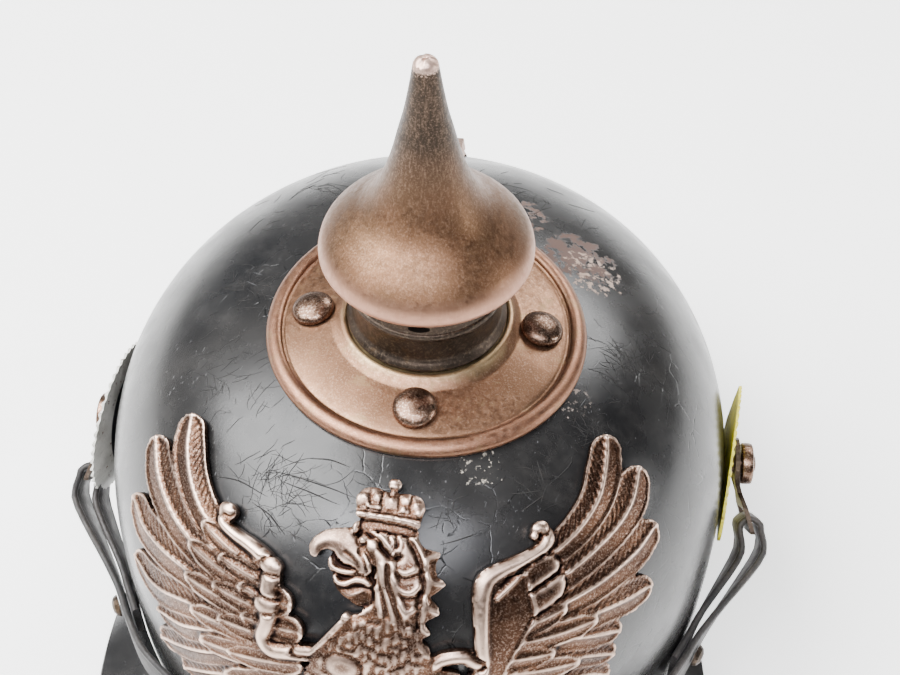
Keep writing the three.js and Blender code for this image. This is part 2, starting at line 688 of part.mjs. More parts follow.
const cockadeProfile = [
  [POST_SHAFT_RADIUS + 0.4, 0], [COCKADE_RADIUS * 0.42, 0], [COCKADE_RADIUS * 0.7, COCKADE_DISH * 0.3],
  [COCKADE_RADIUS - 0.4, COCKADE_DISH], [COCKADE_RADIUS, COCKADE_DISH + COCKADE_THICKNESS * 0.5],
  [COCKADE_RADIUS - 0.4, COCKADE_DISH + COCKADE_THICKNESS],
  [COCKADE_RADIUS * 0.7, COCKADE_DISH * 0.3 + COCKADE_THICKNESS], [COCKADE_RADIUS * 0.42, COCKADE_THICKNESS],
  [POST_SHAFT_RADIUS + 0.4, COCKADE_THICKNESS], [POST_SHAFT_RADIUS + 0.4, 0],
];

const connectorSeat = GAP + COCKADE_DISH + COCKADE_THICKNESS + GAP * 2;
const headSeat = connectorSeat + CONNECTOR_THICKNESS + bendLift(POST_HEAD_RADIUS) + GAP;

function makePost() {
  const shaft = POST_SHAFT_RADIUS;
  const head = POST_HEAD_RADIUS;
  const top = headSeat + POST_HEAD_LENGTH;
  return turned([
    [0, GAP], [shaft, GAP], [shaft, headSeat], [head - 0.3, headSeat], [head, headSeat + 0.6],
    [head, top - 0.8], [head * 0.82, top], [head * 0.34, top + 0.2], [head * 0.34, top + 1], [0, top + 1.5],
  ], 18);
}

// How far the connector's lower part is bent away from the shell, at a distance below the post.
function bendLift(distance) {
  return Math.max(distance - CONNECTOR_BEND_START, 0) * CONNECTOR_BEND_SLOPE;
}

// A flat plate with an eye round the post and a loop for the strap, hanging down its own -Y.
function makeConnector() {
  const eye = CONNECTOR_EYE_RADIUS;
  const half = LOOP_WIDTH / 2;
  const low = -CONNECTOR_LENGTH - LOOP_HEIGHT / 2;
  const high = low + LOOP_HEIGHT;
  const outline = new THREE.Shape();
  outline.absarc(0, 0, eye, toRadians(-55), toRadians(235), false);
  outline.lineTo(-4.2, high + 4);
  outline.lineTo(-half, high);
  outline.lineTo(-half, low + 1);
  outline.lineTo(-half + 1, low);
  outline.lineTo(half - 1, low);
  outline.lineTo(half, low + 1);
  outline.lineTo(half, high);
  outline.lineTo(4.2, high + 4);
  const hole = new THREE.Path();
  hole.absarc(0, 0, POST_SHAFT_RADIUS + 0.4, 0, 2 * Math.PI, true);
  const slot = new THREE.Path();
  slot.moveTo(-half + LOOP_BAR, low + LOOP_BAR);
  slot.lineTo(-half + LOOP_BAR, high - 0.6);
  slot.lineTo(half - LOOP_BAR, high - 0.6);
  slot.lineTo(half - LOOP_BAR, low + LOOP_BAR);
  outline.holes.push(hole, slot);
  const plate = new THREE.ExtrudeGeometry(outline, {
    depth: CONNECTOR_THICKNESS, bevelEnabled: false, curveSegments: 7,
  });
  const position = plate.getAttribute("position");
  for (let i = 0; i < position.count; i += 1) {
    position.setZ(i, position.getZ(i) + bendLift(-position.getY(i)));
  }
  return plate;
}

function sideFrame(side) {
  const seat = shellPoint(90 * side, postRun);
  const normal = shellNormal(90 * side, postRun);
  return { seat, normal };
}

// The connector's own axes in space: across the loop, up to the eye, and away from the shell.
function connectorAxes(side) {
  const { normal } = sideFrame(side);
  const swing = toRadians(CONNECTOR_SWING);
  const up = new THREE.Vector3(0, Math.sin(swing), Math.cos(swing));
  up.addScaledVector(normal, -up.dot(normal)).normalize();
  const across = new THREE.Vector3().crossVectors(up, normal).normalize();
  return { across, up, normal };
}

for (const [side, label, paint] of [[-1, "left", whitePaint], [1, "right", yellowPaint]]) {
  const { seat, normal } = sideFrame(side);
  const lift = (amount) => seat.clone().addScaledVector(normal, amount);
  standOn(addPiece(`cockade_${label}`, turned(cockadeProfile, 28), paint), lift(GAP), normal);
  standOn(addPiece(`side_post_${label}`, makePost(), darkSteel), seat, normal);
  const axes = connectorAxes(side);
  const connector = addPiece(`strap_connector_${label}`, makeConnector(), darkSteel);
  connector.position.copy(lift(connectorSeat));
  const turn = new THREE.Matrix4().makeBasis(axes.across, axes.up, axes.normal);
  connector.quaternion.setFromRotationMatrix(turn);
}

// Chin strap: one band round the front, folded back round the lower bar of each loop

const strapRun = runAtHeight(STRAP_HEIGHT_ON_SHELL);
const foldRadius = LOOP_BAR / 2 + 0.9 + STRAP_THICKNESS / 2;
const innerLayer = STRAP_CLEARANCE + STRAP_THICKNESS / 2;
const outerLayer = innerLayer + STRAP_THICKNESS + 0.6;

// Stations of one half of the strap, from the tucked end round the bar and on towards the front.
function strapHalf(side) {
  const { seat, normal } = sideFrame(side);
  const { across, up } = connectorAxes(side);
  const barDrop = CONNECTOR_LENGTH + LOOP_HEIGHT / 2 - LOOP_BAR / 2;
  const bar = seat.clone()
    .addScaledVector(normal, connectorSeat + CONNECTOR_THICKNESS / 2 + bendLift(barDrop))
    .addScaledVector(up, -barDrop);
  const slanted = across.clone().multiplyScalar(across.z < 0 ? -1 : 1);
  const upright = new THREE.Vector3(0, 0, 1);
  const stations = [];
  const onShell = (degrees, offset, lean, rise = 0) => {
    const width = upright.clone().lerp(slanted, lean).normalize();
    const point = shellPoint(side * degrees, strapRun, offset);
    point.z += rise;
    stations.push({ point, width });
  };
  onShell(STRAP_TUCK_ANGLE, innerLayer, 0);
  onShell(STRAP_TUCK_ANGLE + 5, innerLayer, 0.1, 0.8);
  onShell(STRAP_TUCK_ANGLE + 10, innerLayer + 0.3, 0.4, 2.4);
  const turns = [150, 110, 70, 30];
  const inward = bar.clone().addScaledVector(up, -STRAP_LEAD).addScaledVector(normal, -foldRadius);
  stations.push({ point: inward, width: slanted });
  for (const turn of [180, ...turns, 0]) {
    const angle = toRadians(turn);
    const point = bar.clone().addScaledVector(normal, foldRadius * Math.cos(angle))
      .addScaledVector(up, foldRadius * Math.sin(angle));
    stations.push({ point, width: slanted });
  }
  const outwardPoint = bar.clone().addScaledVector(up, -STRAP_LEAD).addScaledVector(normal, foldRadius);
  stations.push({ point: outwardPoint, width: slanted });
  onShell(STRAP_TUCK_ANGLE + 10, outerLayer + 1.4, 0.4, 2.4);
  onShell(STRAP_TUCK_ANGLE + 5, outerLayer, 0.1, 0.8);
  onShell(STRAP_TUCK_ANGLE, outerLayer, 0);
  onShell(STRAP_TUCK_ANGLE - 7, outerLayer, 0);
  onShell(STRAP_TUCK_ANGLE - 14, innerLayer + 0.6, 0);
  return stations;
}

function strapStations() {
  const front = [];
  const frontEnd = STRAP_TUCK_ANGLE - 21;
  for (let degrees = frontEnd; degrees >= -frontEnd; degrees -= 6) {
    front.push({ point: shellPoint(degrees, strapRun, innerLayer), width: new THREE.Vector3(0, 0, 1) });
  }
  return [...strapHalf(1), ...front, ...strapHalf(-1).reverse()];
}

// A flat band through a row of stations, each with a centre and the direction of the band's width.
function bandSolid(stations, width, thickness) {
  const sections = stations.map((station, i) => {
    const before = stations[Math.max(i - 1, 0)].point;
    const after = stations[Math.min(i + 1, stations.length - 1)].point;
    const along = new THREE.Vector3().subVectors(after, before).normalize();
    const face = new THREE.Vector3().crossVectors(along, station.width).normalize();
    const wide = new THREE.Vector3().crossVectors(face, along).normalize();
    return [[-1, -1], [1, -1], [1, 1], [-1, 1]].map(([w, h]) => (
      station.point.clone().addScaledVector(wide, (w * width) / 2).addScaledVector(face, (h * thickness) / 2)
    ));
  });
  return loftSections(sections);
}

addPiece("chin_strap", bandSolid(strapStations(), STRAP_WIDTH, STRAP_THICKNESS), strapLeather);

// A rectangular ring with a middle bar, lying on the strap
function makeBuckle() {
  const bar = (width, height, x, y) => {
    const box = new THREE.BoxGeometry(width, height, BUCKLE_THICKNESS);
    return box.translate(x, y, BUCKLE_THICKNESS / 2);
  };
  const sideX = (BUCKLE_LENGTH - BUCKLE_BAR) / 2;
  const endY = (BUCKLE_HEIGHT - BUCKLE_BAR) / 2;
  return joinAll([
    bar(BUCKLE_LENGTH, BUCKLE_BAR, 0, endY),
    bar(BUCKLE_LENGTH, BUCKLE_BAR, 0, -endY),
    bar(BUCKLE_BAR, BUCKLE_HEIGHT, -sideX, 0),
    bar(BUCKLE_BAR, BUCKLE_HEIGHT, 0, 0),
    bar(BUCKLE_BAR, BUCKLE_HEIGHT, sideX, 0),
  ]);
}

for (const [side, label] of [[-1, "left"], [1, "right"]]) {
  const degrees = side * BUCKLE_ANGLE;
  const normal = shellNormal(degrees, strapRun);
  normal.z = 0;
  normal.normalize();
  const across = new THREE.Vector3().crossVectors(new THREE.Vector3(0, 0, 1), normal);
  const buckle = addPiece(`strap_buckle_${label}`, makeBuckle(), darkSteel);
  const strapFace = innerLayer + STRAP_THICKNESS / 2;
  buckle.position.copy(shellPoint(degrees, strapRun)).addScaledVector(normal, strapFace + GAP * 2);
  buckle.quaternion.setFromRotationMatrix(
    new THREE.Matrix4().makeBasis(across, new THREE.Vector3(0, 0, 1), normal),
  );
  const studDegrees = side * STRAP_STUD_ANGLE;
  const studNormal = shellNormal(studDegrees, strapRun);
  studNormal.z = 0;
  studNormal.normalize();
  const studFoot = shellPoint(studDegrees, strapRun)
    .addScaledVector(studNormal, outerLayer + STRAP_THICKNESS / 2 + GAP * 1.5);
  const stud = addPiece(`strap_stud_${label}`, makeRivet(STRAP_STUD_RADIUS, 2.2), darkSteel);
  standOn(stud, studFoot, studNormal);
}

// Griffin plate, in degrees from the front and millimetres up the shell

const MM_PER_DEGREE = toRadians(SHELL_HALF_WIDTH);

function widthShareAt(run) {
  return shellProfile.getPointAt(THREE.MathUtils.clamp(run / PROFILE_LENGTH, 0, 1)).x / SHELL_HALF_LENGTH;
}

// A bar of relief along a curve. Path entries are [degrees, run, width], and height is over the sheet.
function reliefBar(path, height, steps = 6) {
  const curve = new THREE.CatmullRomCurve3(path.map(([a, s, w]) => new THREE.Vector3(a, s, w)));
  const sections = [];
  for (let i = 0; i <= steps; i += 1) {
    const spot = curve.getPoint(i / steps);
    const tangent = curve.getTangent(i / steps);
    const scale = MM_PER_DEGREE * widthShareAt(spot.y);
    const run = new THREE.Vector2(tangent.x * scale, tangent.y).normalize();
    const place = (across, lift) => shellPoint(
      spot.x - (run.y * across) / scale,
      spot.y + run.x * across,
      RELIEF_STANDOFF + lift,
    );
    const half = spot.z / 2;
    sections.push([
      place(-half, 0), place(half, 0), place(half, RELIEF_SHEET),
      place(0, RELIEF_SHEET + height), place(-half, RELIEF_SHEET),
    ]);
  }
  return loftSections(sections);
}

// A raised patch inside an outline of [degrees, run] points, domed towards its middle.
function reliefPatch(outline, height, edgeHeight = RELIEF_SHEET) {
  const average = (k) => outline.reduce((sum, point) => sum + point[k], 0) / outline.length;
  const middle = [average(0), average(1)];
  const shares = [1, 0.55];
  const count = outline.length;
  const points = [];
  const triangles = [];
  const addRings = (liftAt) => {
    shares.forEach((share) => outline.forEach(([a, s]) => {
      const degrees = middle[0] + (a - middle[0]) * share;
      const run = middle[1] + (s - middle[1]) * share;
      points.push(shellPoint(degrees, run, RELIEF_STANDOFF + liftAt(share)));
    }));
    points.push(shellPoint(middle[0], middle[1], RELIEF_STANDOFF + liftAt(0)));
  };
  addRings((share) => edgeHeight + height * (1 - share * share));
  addRings(() => 0);
  const layer = shares.length * count + 1;
  for (let i = 0; i < count; i += 1) {
    const j = (i + 1) % count;
    for (let ring = 0; ring < shares.length - 1; ring += 1) {
      const a = ring * count;
      const b = a + count;
      const under = layer + a;
      const underNext = layer + b;
      triangles.push([a + i, a + j, b + j], [a + i, b + j, b + i]);
      triangles.push([under + j, under + i, underNext + i], [under + j, underNext + i, underNext + j]);
    }
    const last = (shares.length - 1) * count;
    triangles.push([last + i, last + j, layer - 1], [layer + last + j, layer + last + i, 2 * layer - 1]);
    triangles.push([j, i, layer + i], [j, layer + i, layer + j]);
  }
  return outward(geometryFrom(points, triangles));
}

function roundOutline(centre, halfSize, count = 12, lean = 0) {
  return Array.from({ length: count }, (_, i) => {
    const angle = (2 * Math.PI * i) / count;
    const x = halfSize[0] * Math.cos(angle);
    const y = halfSize[1] * Math.sin(angle);
    return [
      centre[0] + x * Math.cos(lean) - y * Math.sin(lean),
      centre[1] + x * Math.sin(lean) + y * Math.cos(lean),
    ];
  });
}

// Flight feathers of one wing: the tips run down the wing's edge, the roots down its arm.
const FEATHER_TIPS = [
  [61, 113], [62.8, 106], [62.4, 98], [60.2, 91], [57.5, 84], [55, 77],
  [51.5, 70], [46, 63.5], [41.5, 57], [38, 51], [34, 46], [28, 42],
];
const FEATHER_WIDTH = 8.4;
const FEATHER_BOW = 2.4;
const FEATHER_RIDGE = 0.8;
const COVERT_SHARE = 0.56;
const COVERT_RIDGE = 1.7;

function featherRoot(i) {
  const share = i / (FEATHER_TIPS.length - 1);
  return [31 - 13 * share, 97 - 38 * share];
}

function makeWing(side) {
  const pieces = [];
  FEATHER_TIPS.forEach((tip, i) => {
    const root = featherRoot(i);
    const middle = [(root[0] + tip[0]) / 2, (root[1] + tip[1]) / 2 + FEATHER_BOW];
    pieces.push(reliefBar([
      [side * root[0], root[1], FEATHER_WIDTH * 0.9],
      [side * middle[0], middle[1], FEATHER_WIDTH],
      [side * tip[0], tip[1] - 1, FEATHER_WIDTH * 0.42],
    ], FEATHER_RIDGE, 3));
    if (i % 2 === 0) {
      const end = root.map((value, k) => value + (tip[k] - value) * COVERT_SHARE);
      pieces.push(reliefBar([
        [side * root[0], root[1], FEATHER_WIDTH * 1.1],
        [side * end[0], end[1], FEATHER_WIDTH * 0.7],
      ], COVERT_RIDGE, 2));
    }
  });
  pieces.push(reliefPatch([
    [12, 58], [17.6, 70], [18, 84], [18.6, 92], [21, 98], [26, 100.5], [31, 101], [33, 96],
    [31, 88], [28, 78], [25, 68], [20, 58],
  ].map(([a, s]) => [side * a, s]), 1.1));
  pieces.push(reliefBar([
    [side * 17.5, 74, 4], [side * 19, 92, 5.4], [side * 24.5, 99, 5.4], [side * 31, 101.5, 5],
    [side * 34, 103.5, 5],
  ], 1.9, 8));
  pieces.push(reliefPatch(roundOutline([side * 34.6, 103.2], [2.2, 3.2], 8), 1.6, 1.8));
  return pieces;
}

function makeGriffin() {
  const pieces = [...makeWing(-1), ...makeWing(1)];
  const patch = (points, height, edge) => pieces.push(reliefPatch(points, height, edge));
  // Body, neck and head
  patch(roundOutline([0, 58], [12.5, 24], 12), 2.2);
  patch([[-10, 70], [8.4, 66], [8.2, 79], [8.6, 86], [10, 93], [11, 100], [7.3, 110], [0, 114],
    [-8.3, 113], [-6, 104], [-3, 97], [-6, 90], [-9.9, 79]], 1.6);
  patch([[-8.5, 112.5], [-12, 112], [-15, 109.7], [-16, 105], [-14, 106], [-11, 106.4], [-6, 105],
    [-2, 105], [0, 110], [-2, 113.6]], 1.4, 1.3);
  patch([[-3, 97], [-3.5, 103], [-8, 103.5], [-11.4, 102], [-9.4, 97.2], [-6, 96]], 0.9);
  // Crest spikes down the neck
  for (const [a, s] of [[9.6, 108], [11, 99.4], [10.4, 92.6], [9, 85.6], [8.4, 79]]) {
    pieces.push(reliefBar([[a - 4, s - 3, 4.6], [a + 1.4, s + 0.6, 1.4]], 1, 2));
  }
  // Crown
  patch([[-4, 113.6], [7.4, 114.4], [9.2, 119], [7.6, 122.6], [4, 123.6], [0.6, 124], [-3, 123.6],
    [-7, 122.4], [-8.3, 118]], 1.8, 1.2);
  patch(roundOutline([0.6, 125.6], [1.6, 2.4], 8), 0.8, 1.6);
  // Forelegs, shield, hind legs, tail and scroll
  pieces.push(reliefBar([[-4, 71, 10], [-9, 64, 9], [-15, 56, 6.4], [-14, 50, 5]], 2.2, 4));
  pieces.push(reliefBar([[6, 69, 9], [13, 61, 8], [17, 55, 6], [13, 51, 5]], 1.9, 4));
  patch([[-16, 54], [-6.5, 54], [-6.5, 44], [-8, 39], [-11.2, 36], [-14.4, 39], [-16, 44]], 1, 2);
  pieces.push(reliefBar([[-3, 46, 13], [-8, 38, 11], [-7, 32, 6], [-12, 29, 6]], 1.9, 4));
  pieces.push(reliefBar([[5, 46, 14], [11, 38, 11], [9, 32, 6], [5, 29, 6]], 1.9, 4));
  pieces.push(reliefBar([[9, 45, 5], [19, 40, 4.4], [25, 43, 4], [24, 49, 4], [20, 48, 5.4]], 1.6, 6));
  pieces.push(reliefBar([[-26, 32, 8], [-14, 28.4, 8], [0, 27.4, 8], [14, 28.4, 8], [26, 32, 8]], 0.5, 8));
  return joinAll(pieces);
}

addPiece("helmet_plate", makeGriffin(), griffinMetal);

export default helmet;
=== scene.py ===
import math

import bmesh
import bpy
import numpy as np
from mathutils import Matrix, Vector


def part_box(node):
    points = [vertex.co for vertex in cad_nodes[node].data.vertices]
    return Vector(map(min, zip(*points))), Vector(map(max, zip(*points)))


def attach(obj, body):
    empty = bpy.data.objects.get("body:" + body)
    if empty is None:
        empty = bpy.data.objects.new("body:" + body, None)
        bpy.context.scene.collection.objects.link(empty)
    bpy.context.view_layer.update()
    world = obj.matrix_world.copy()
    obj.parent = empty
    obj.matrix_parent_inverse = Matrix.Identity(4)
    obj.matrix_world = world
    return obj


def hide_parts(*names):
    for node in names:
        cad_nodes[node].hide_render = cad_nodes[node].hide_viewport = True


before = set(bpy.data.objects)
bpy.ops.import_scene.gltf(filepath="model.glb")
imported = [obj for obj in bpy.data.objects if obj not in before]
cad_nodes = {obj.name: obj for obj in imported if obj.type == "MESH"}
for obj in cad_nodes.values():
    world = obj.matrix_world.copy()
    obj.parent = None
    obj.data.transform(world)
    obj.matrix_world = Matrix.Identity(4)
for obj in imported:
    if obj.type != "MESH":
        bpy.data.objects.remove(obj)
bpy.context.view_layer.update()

# Every length in the tables below is in millimetres in the part's frame, and MM turns it to metres.
MM = 0.001

# Camera, fitted to the photograph
CAMERA_TURN, CAMERA_RISE, CAMERA_ROLL = 4.612, 48.728, 0.805
CAMERA_DISTANCE = 368.15
CAMERA_TARGET = (9.55, -14.6, 129.03)
CAMERA_LENS, CAMERA_SENSOR = 54.0, 36.0

# Shell, as in the part
SHELL_HALF_WIDTH, SHELL_HALF_LENGTH, SHELL_HEIGHT = 95.0, 106.0, 110.8
SHELL_WALL, SHELL_BASE, CROWN_FORWARD = 2.6, 26.0, 14.6
GAP = 0.3

# Spike and its plate, as in the part
AXIS_X, AXIS_Y = 3.3, -14.6
PLATE_RADIUS, PLATE_THICKNESS, PLATE_FOOT_RING = 43.4, 1.2, 0.7
COLLAR_RADIUS, COLLAR_HEIGHT, COLLAR_WALL = 21.8, 22.4, 1.4
SPIKE_BULB_RADIUS, SPIKE_HEIGHT = 27.5, 61.2
RIVET_CIRCLE, RIVET_RADIUS, RIVET_HEIGHT = 30.9, 5.8, 3.4
PLATE_FLAT = SHELL_BASE + SHELL_HEIGHT + GAP + PLATE_THICKNESS
COLLAR_FOOT = PLATE_FLAT + GAP
SPIKE_FOOT = COLLAR_FOOT + COLLAR_HEIGHT + GAP
COLLAR_EDGE = COLLAR_RADIUS - 0.9

# Side fittings, as in the part
POST_HEIGHT_ON_SHELL, POST_SHAFT, POST_HEAD, POST_HEAD_LENGTH = 36.9, 3.0, 6.4, 4.0
COCKADE_RADIUS, COCKADE_THICKNESS, COCKADE_DISH = 24.4, 1.0, 1.5
CONNECTOR_THICKNESS, CONNECTOR_BEND_START, CONNECTOR_BEND_SLOPE = 1.4, 5.0, 0.3


# Colours and nodes

def linear(hex_colour):
    """The linear colour of an sRGB hex value."""
    parts = [int(hex_colour[i:i + 2], 16) / 255 for i in (1, 3, 5)]
    return [c / 12.92 if c <= 0.04045 else ((c + 0.055) / 1.055) ** 2.4 for c in parts] + [1.0]


def per(size):
    """The texture scale whose features are this many millimetres across."""
    return 1 / (size * MM)


def add(tree, kind, values=None, links=None, **settings):
    """Adds a node with its settings, socket values and links from other nodes' outputs."""
    made = tree.nodes.new(kind)
    for key, value in settings.items():
        setattr(made, key, value)
    for socket, value in (values or {}).items():
        made.inputs[socket].default_value = value
    for socket, source in (links or {}).items():
        tree.links.new(source, made.inputs[socket])
    return made


def new_material(name):
    material = bpy.data.materials.new(name)
    material.use_nodes = True
    material.node_tree.nodes.clear()
    return material, material.node_tree


def noise(tree, place, size, detail=4.0, roughness=0.55, stretch=None):
    """Noise with features of a size in mm, drawn out along an axis where stretch gives shares."""
    if stretch:
        place = add(tree, "ShaderNodeMapping", {"Scale": stretch}, {"Vector": place}).outputs[0]
    values = {"Scale": per(size), "Detail": detail, "Roughness": roughness}
    return add(tree, "ShaderNodeTexNoise", values, {"Vector": place}).outputs["Fac"]


def ramp(tree, source, low, high, out_low=0.0, out_high=1.0):
    values = {"From Min": low, "From Max": high, "To Min": out_low, "To Max": out_high}
    return add(tree, "ShaderNodeMapRange", values, {"Value": source}, clamp=True).outputs[0]


def math_node(tree, operation, a, b):
    made = add(tree, "ShaderNodeMath", operation=operation)
    for socket, source in zip(made.inputs, (a, b)):
        if isinstance(source, (int, float)):
            socket.default_value = source
        else:
            tree.links.new(source, socket)
    return made.outputs[0]


def blend_colour(tree, share, first, second):
    """Mixes two colours, each a hex value or an output, by a share."""
    made = add(tree, "ShaderNodeMix", data_type="RGBA")
    for socket, source in zip((made.inputs[0], made.inputs[6], made.inputs[7]), (share, first, second)):
        if isinstance(source, str):
            socket.default_value = linear(source)
        elif isinstance(source, float):
            socket.default_value = source
        else:
            tree.links.new(source, socket)
    return made.outputs[2]


def close_material(tree, values, links, height=None, depth=0.1):
    """Adds the shader, with a bump of a depth in mm where a height is given, and the output."""
    if height is not None:
        bump = add(tree, "ShaderNodeBump", {"Strength": 1.0, "Distance": depth * MM}, {"Height": height})
        links = {**links, "Normal": bump.outputs[0]}
    shader = add(tree, "ShaderNodeBsdfPrincipled", values, links)
    add(tree, "ShaderNodeOutputMaterial", None, {"Surface": shader.outputs[0]})


# The shell's surface

_share = np.linspace(0, 1, 4001)
_angle = np.pi / 2 * _share ** 2
PROFILE_WIDTH = np.cos(_angle)
PROFILE_HEIGHT = np.sqrt(np.sin(_angle))
_steps = np.hypot(np.diff(PROFILE_WIDTH) * SHELL_HALF_LENGTH, np.diff(PROFILE_HEIGHT) * SHELL_HEIGHT)
PROFILE_RUN = np.concatenate([[0], np.cumsum(_steps)])
PROFILE_LENGTH = PROFILE_RUN[-1]


def on_shell(degrees, run, offset=0.0):
    """Points over the shell at an angle from the front and a run up from its lower edge."""
    degrees, run = np.broadcast_arrays(np.asarray(degrees, float), np.asarray(run, float))
    width = np.interp(run, PROFILE_RUN, PROFILE_WIDTH)
    height = np.interp(run, PROFILE_RUN, PROFILE_HEIGHT)
    angle = np.radians(degrees)
    return np.stack([
        (SHELL_HALF_WIDTH + offset) * width * np.sin(angle),
        -CROWN_FORWARD * height ** 4 - (SHELL_HALF_LENGTH + offset) * width * np.cos(angle),
        SHELL_BASE + (SHELL_HEIGHT + offset) * height,
    ], -1)


def shell_normal(degrees, run):
    """The direction straight out of the shell."""
    step = 0.4
    across = on_shell(np.add(degrees, step), run) - on_shell(np.subtract(degrees, step), run)
    upward = on_shell(degrees, np.add(run, step)) - on_shell(degrees, np.subtract(run, step))
    normal = np.cross(across, upward)
    return normal / np.linalg.norm(normal, axis=-1, keepdims=True)


def over_shell(degrees, run, lift):
    """Points a lift in mm straight out from the shell."""
    return on_shell(degrees, run) + shell_normal(degrees, run) * np.asarray(lift)[..., None]


def mm_per_degree(degrees, run):
    """How far a degree reaches round the shell at a place."""
    width = np.interp(run, PROFILE_RUN, PROFILE_WIDTH)
    angle = np.radians(degrees)
    reach = np.hypot(SHELL_HALF_WIDTH * np.cos(angle), SHELL_HALF_LENGTH * np.sin(angle))
    return np.radians(1) * width * reach


def shell_height_at(x, y):
    """The height of the shell's top over a place, found in steps because the crown leans forward."""
    share = np.full(np.broadcast(x, y).shape, 0.95)
    for _ in range(40):
        fill = (x / SHELL_HALF_WIDTH) ** 2 + ((y + CROWN_FORWARD * share ** 4) / SHELL_HALF_LENGTH) ** 2
        share = np.maximum(1 - fill, 0) ** 0.25
    return SHELL_BASE + SHELL_HEIGHT * share


def run_at_height(height):
    """The run at a height over the shell's lower edge."""
    return float(np.interp(height / SHELL_HEIGHT, PROFILE_HEIGHT, PROFILE_RUN))


# Meshes

def piece(name, points, faces, material, replaces=(), body="helmet", sharp=38.0):
    """A mesh from points in mm, smooth except at edges sharper than an angle."""
    mesh = bpy.data.meshes.new(name)
    mesh.from_pydata((np.asarray(points, float) * MM).tolist(), [], [list(map(int, f)) for f in faces])
    if sharp:
        work = bmesh.new()
        work.from_mesh(mesh)
        bmesh.ops.recalc_face_normals(work, faces=work.faces)
        limit = math.radians(sharp)
        for edge in work.edges:
            edge.smooth = len(edge.link_faces) == 2 and edge.calc_face_angle(0) < limit
        work.to_mesh(mesh)
        work.free()
    mesh.polygons.foreach_set("use_smooth", [True] * len(mesh.polygons))
    mesh.materials.append(material)
    made = bpy.data.objects.new(name, mesh)
    bpy.context.scene.collection.objects.link(made)
    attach(made, body)
    if replaces:
        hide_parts(*replaces)
    return made


def spline(points, steps):
    """A smooth line through points, with a number of steps for each span."""
    points = np.asarray(points, float)
    ends = np.vstack([2 * points[0] - points[1], points, 2 * points[-1] - points[-2]])
    share = np.linspace(0, 1, steps, endpoint=False)[:, None]
    parts = []
    for i in range(len(points) - 1):
        a, b, c, d = ends[i:i + 4]
        parts.append(0.5 * (2 * b + (c - a) * share + (2 * a - 5 * b + 4 * c - d) * share ** 2
                            + (3 * b - a - 3 * c + d) * share ** 3))
    return np.vstack([*parts, points[-1:]])


def grid_faces(rows, columns, start=0, wrap=False):
    """The quads of a grid of points, closed round its columns where wrap is set."""
    r, c = np.meshgrid(np.arange(rows - 1), np.arange(columns if wrap else columns - 1), indexing="ij")
    a = r * columns + c
    b = r * columns + (c + 1) % columns
    return np.stack([a, b, b + columns, a + columns], -1).reshape(-1, 4) + start


def turned(profile, segments=96):
    """Points and faces of a turned piece on the Z axis, from [radius, height] pairs."""
    profile = np.asarray(profile, float)
    angle = np.linspace(0, 2 * np.pi, segments, endpoint=False)
    ring = np.stack([np.cos(angle), np.sin(angle)], -1)
    points = np.concatenate([
        np.hstack([ring * max(r, 1e-4), np.full((segments, 1), h)]) for r, h in profile
    ])
    return points, grid_faces(len(profile), segments, wrap=True)


def stood(points, seat, axis):
    """Points moved from the Z axis to a seat with their axis along a direction."""
    turn = Vector((0, 0, 1)).rotation_difference(Vector(axis)).to_matrix()
    return np.asarray(points) @ np.array(turn).T + np.asarray(seat)


def lofted(sections):
    """A solid through equal closed sections, with flat ends."""
    sections = np.asarray(sections, float)
    rows, count = sections.shape[:2]
    faces = grid_faces(rows, count, wrap=True).tolist()
    faces += [list(range(count))[::-1], list(range((rows - 1) * count, rows * count))]
    return sections.reshape(-1, 3), faces


def sheet(top, bottom):
    """A closed sheet between two equal grids of points."""
    top, bottom = np.asarray(top, float), np.asarray(bottom, float)
    rows, columns = top.shape[:2]
    below = rows * columns
    faces = grid_faces(rows, columns).tolist() + grid_faces(rows, columns, below)[:, ::-1].tolist()
    index = np.arange(below).reshape(rows, columns)
    rim = [*index[0], *index[1:, -1], *index[-1, -2::-1], *index[-2:0:-1, 0]]
    faces += [[b, a, a + below, b + below] for a, b in zip(rim, rim[1:] + rim[:1])]
    return np.concatenate([top.reshape(-1, 3), bottom.reshape(-1, 3)]), faces


# Finishes

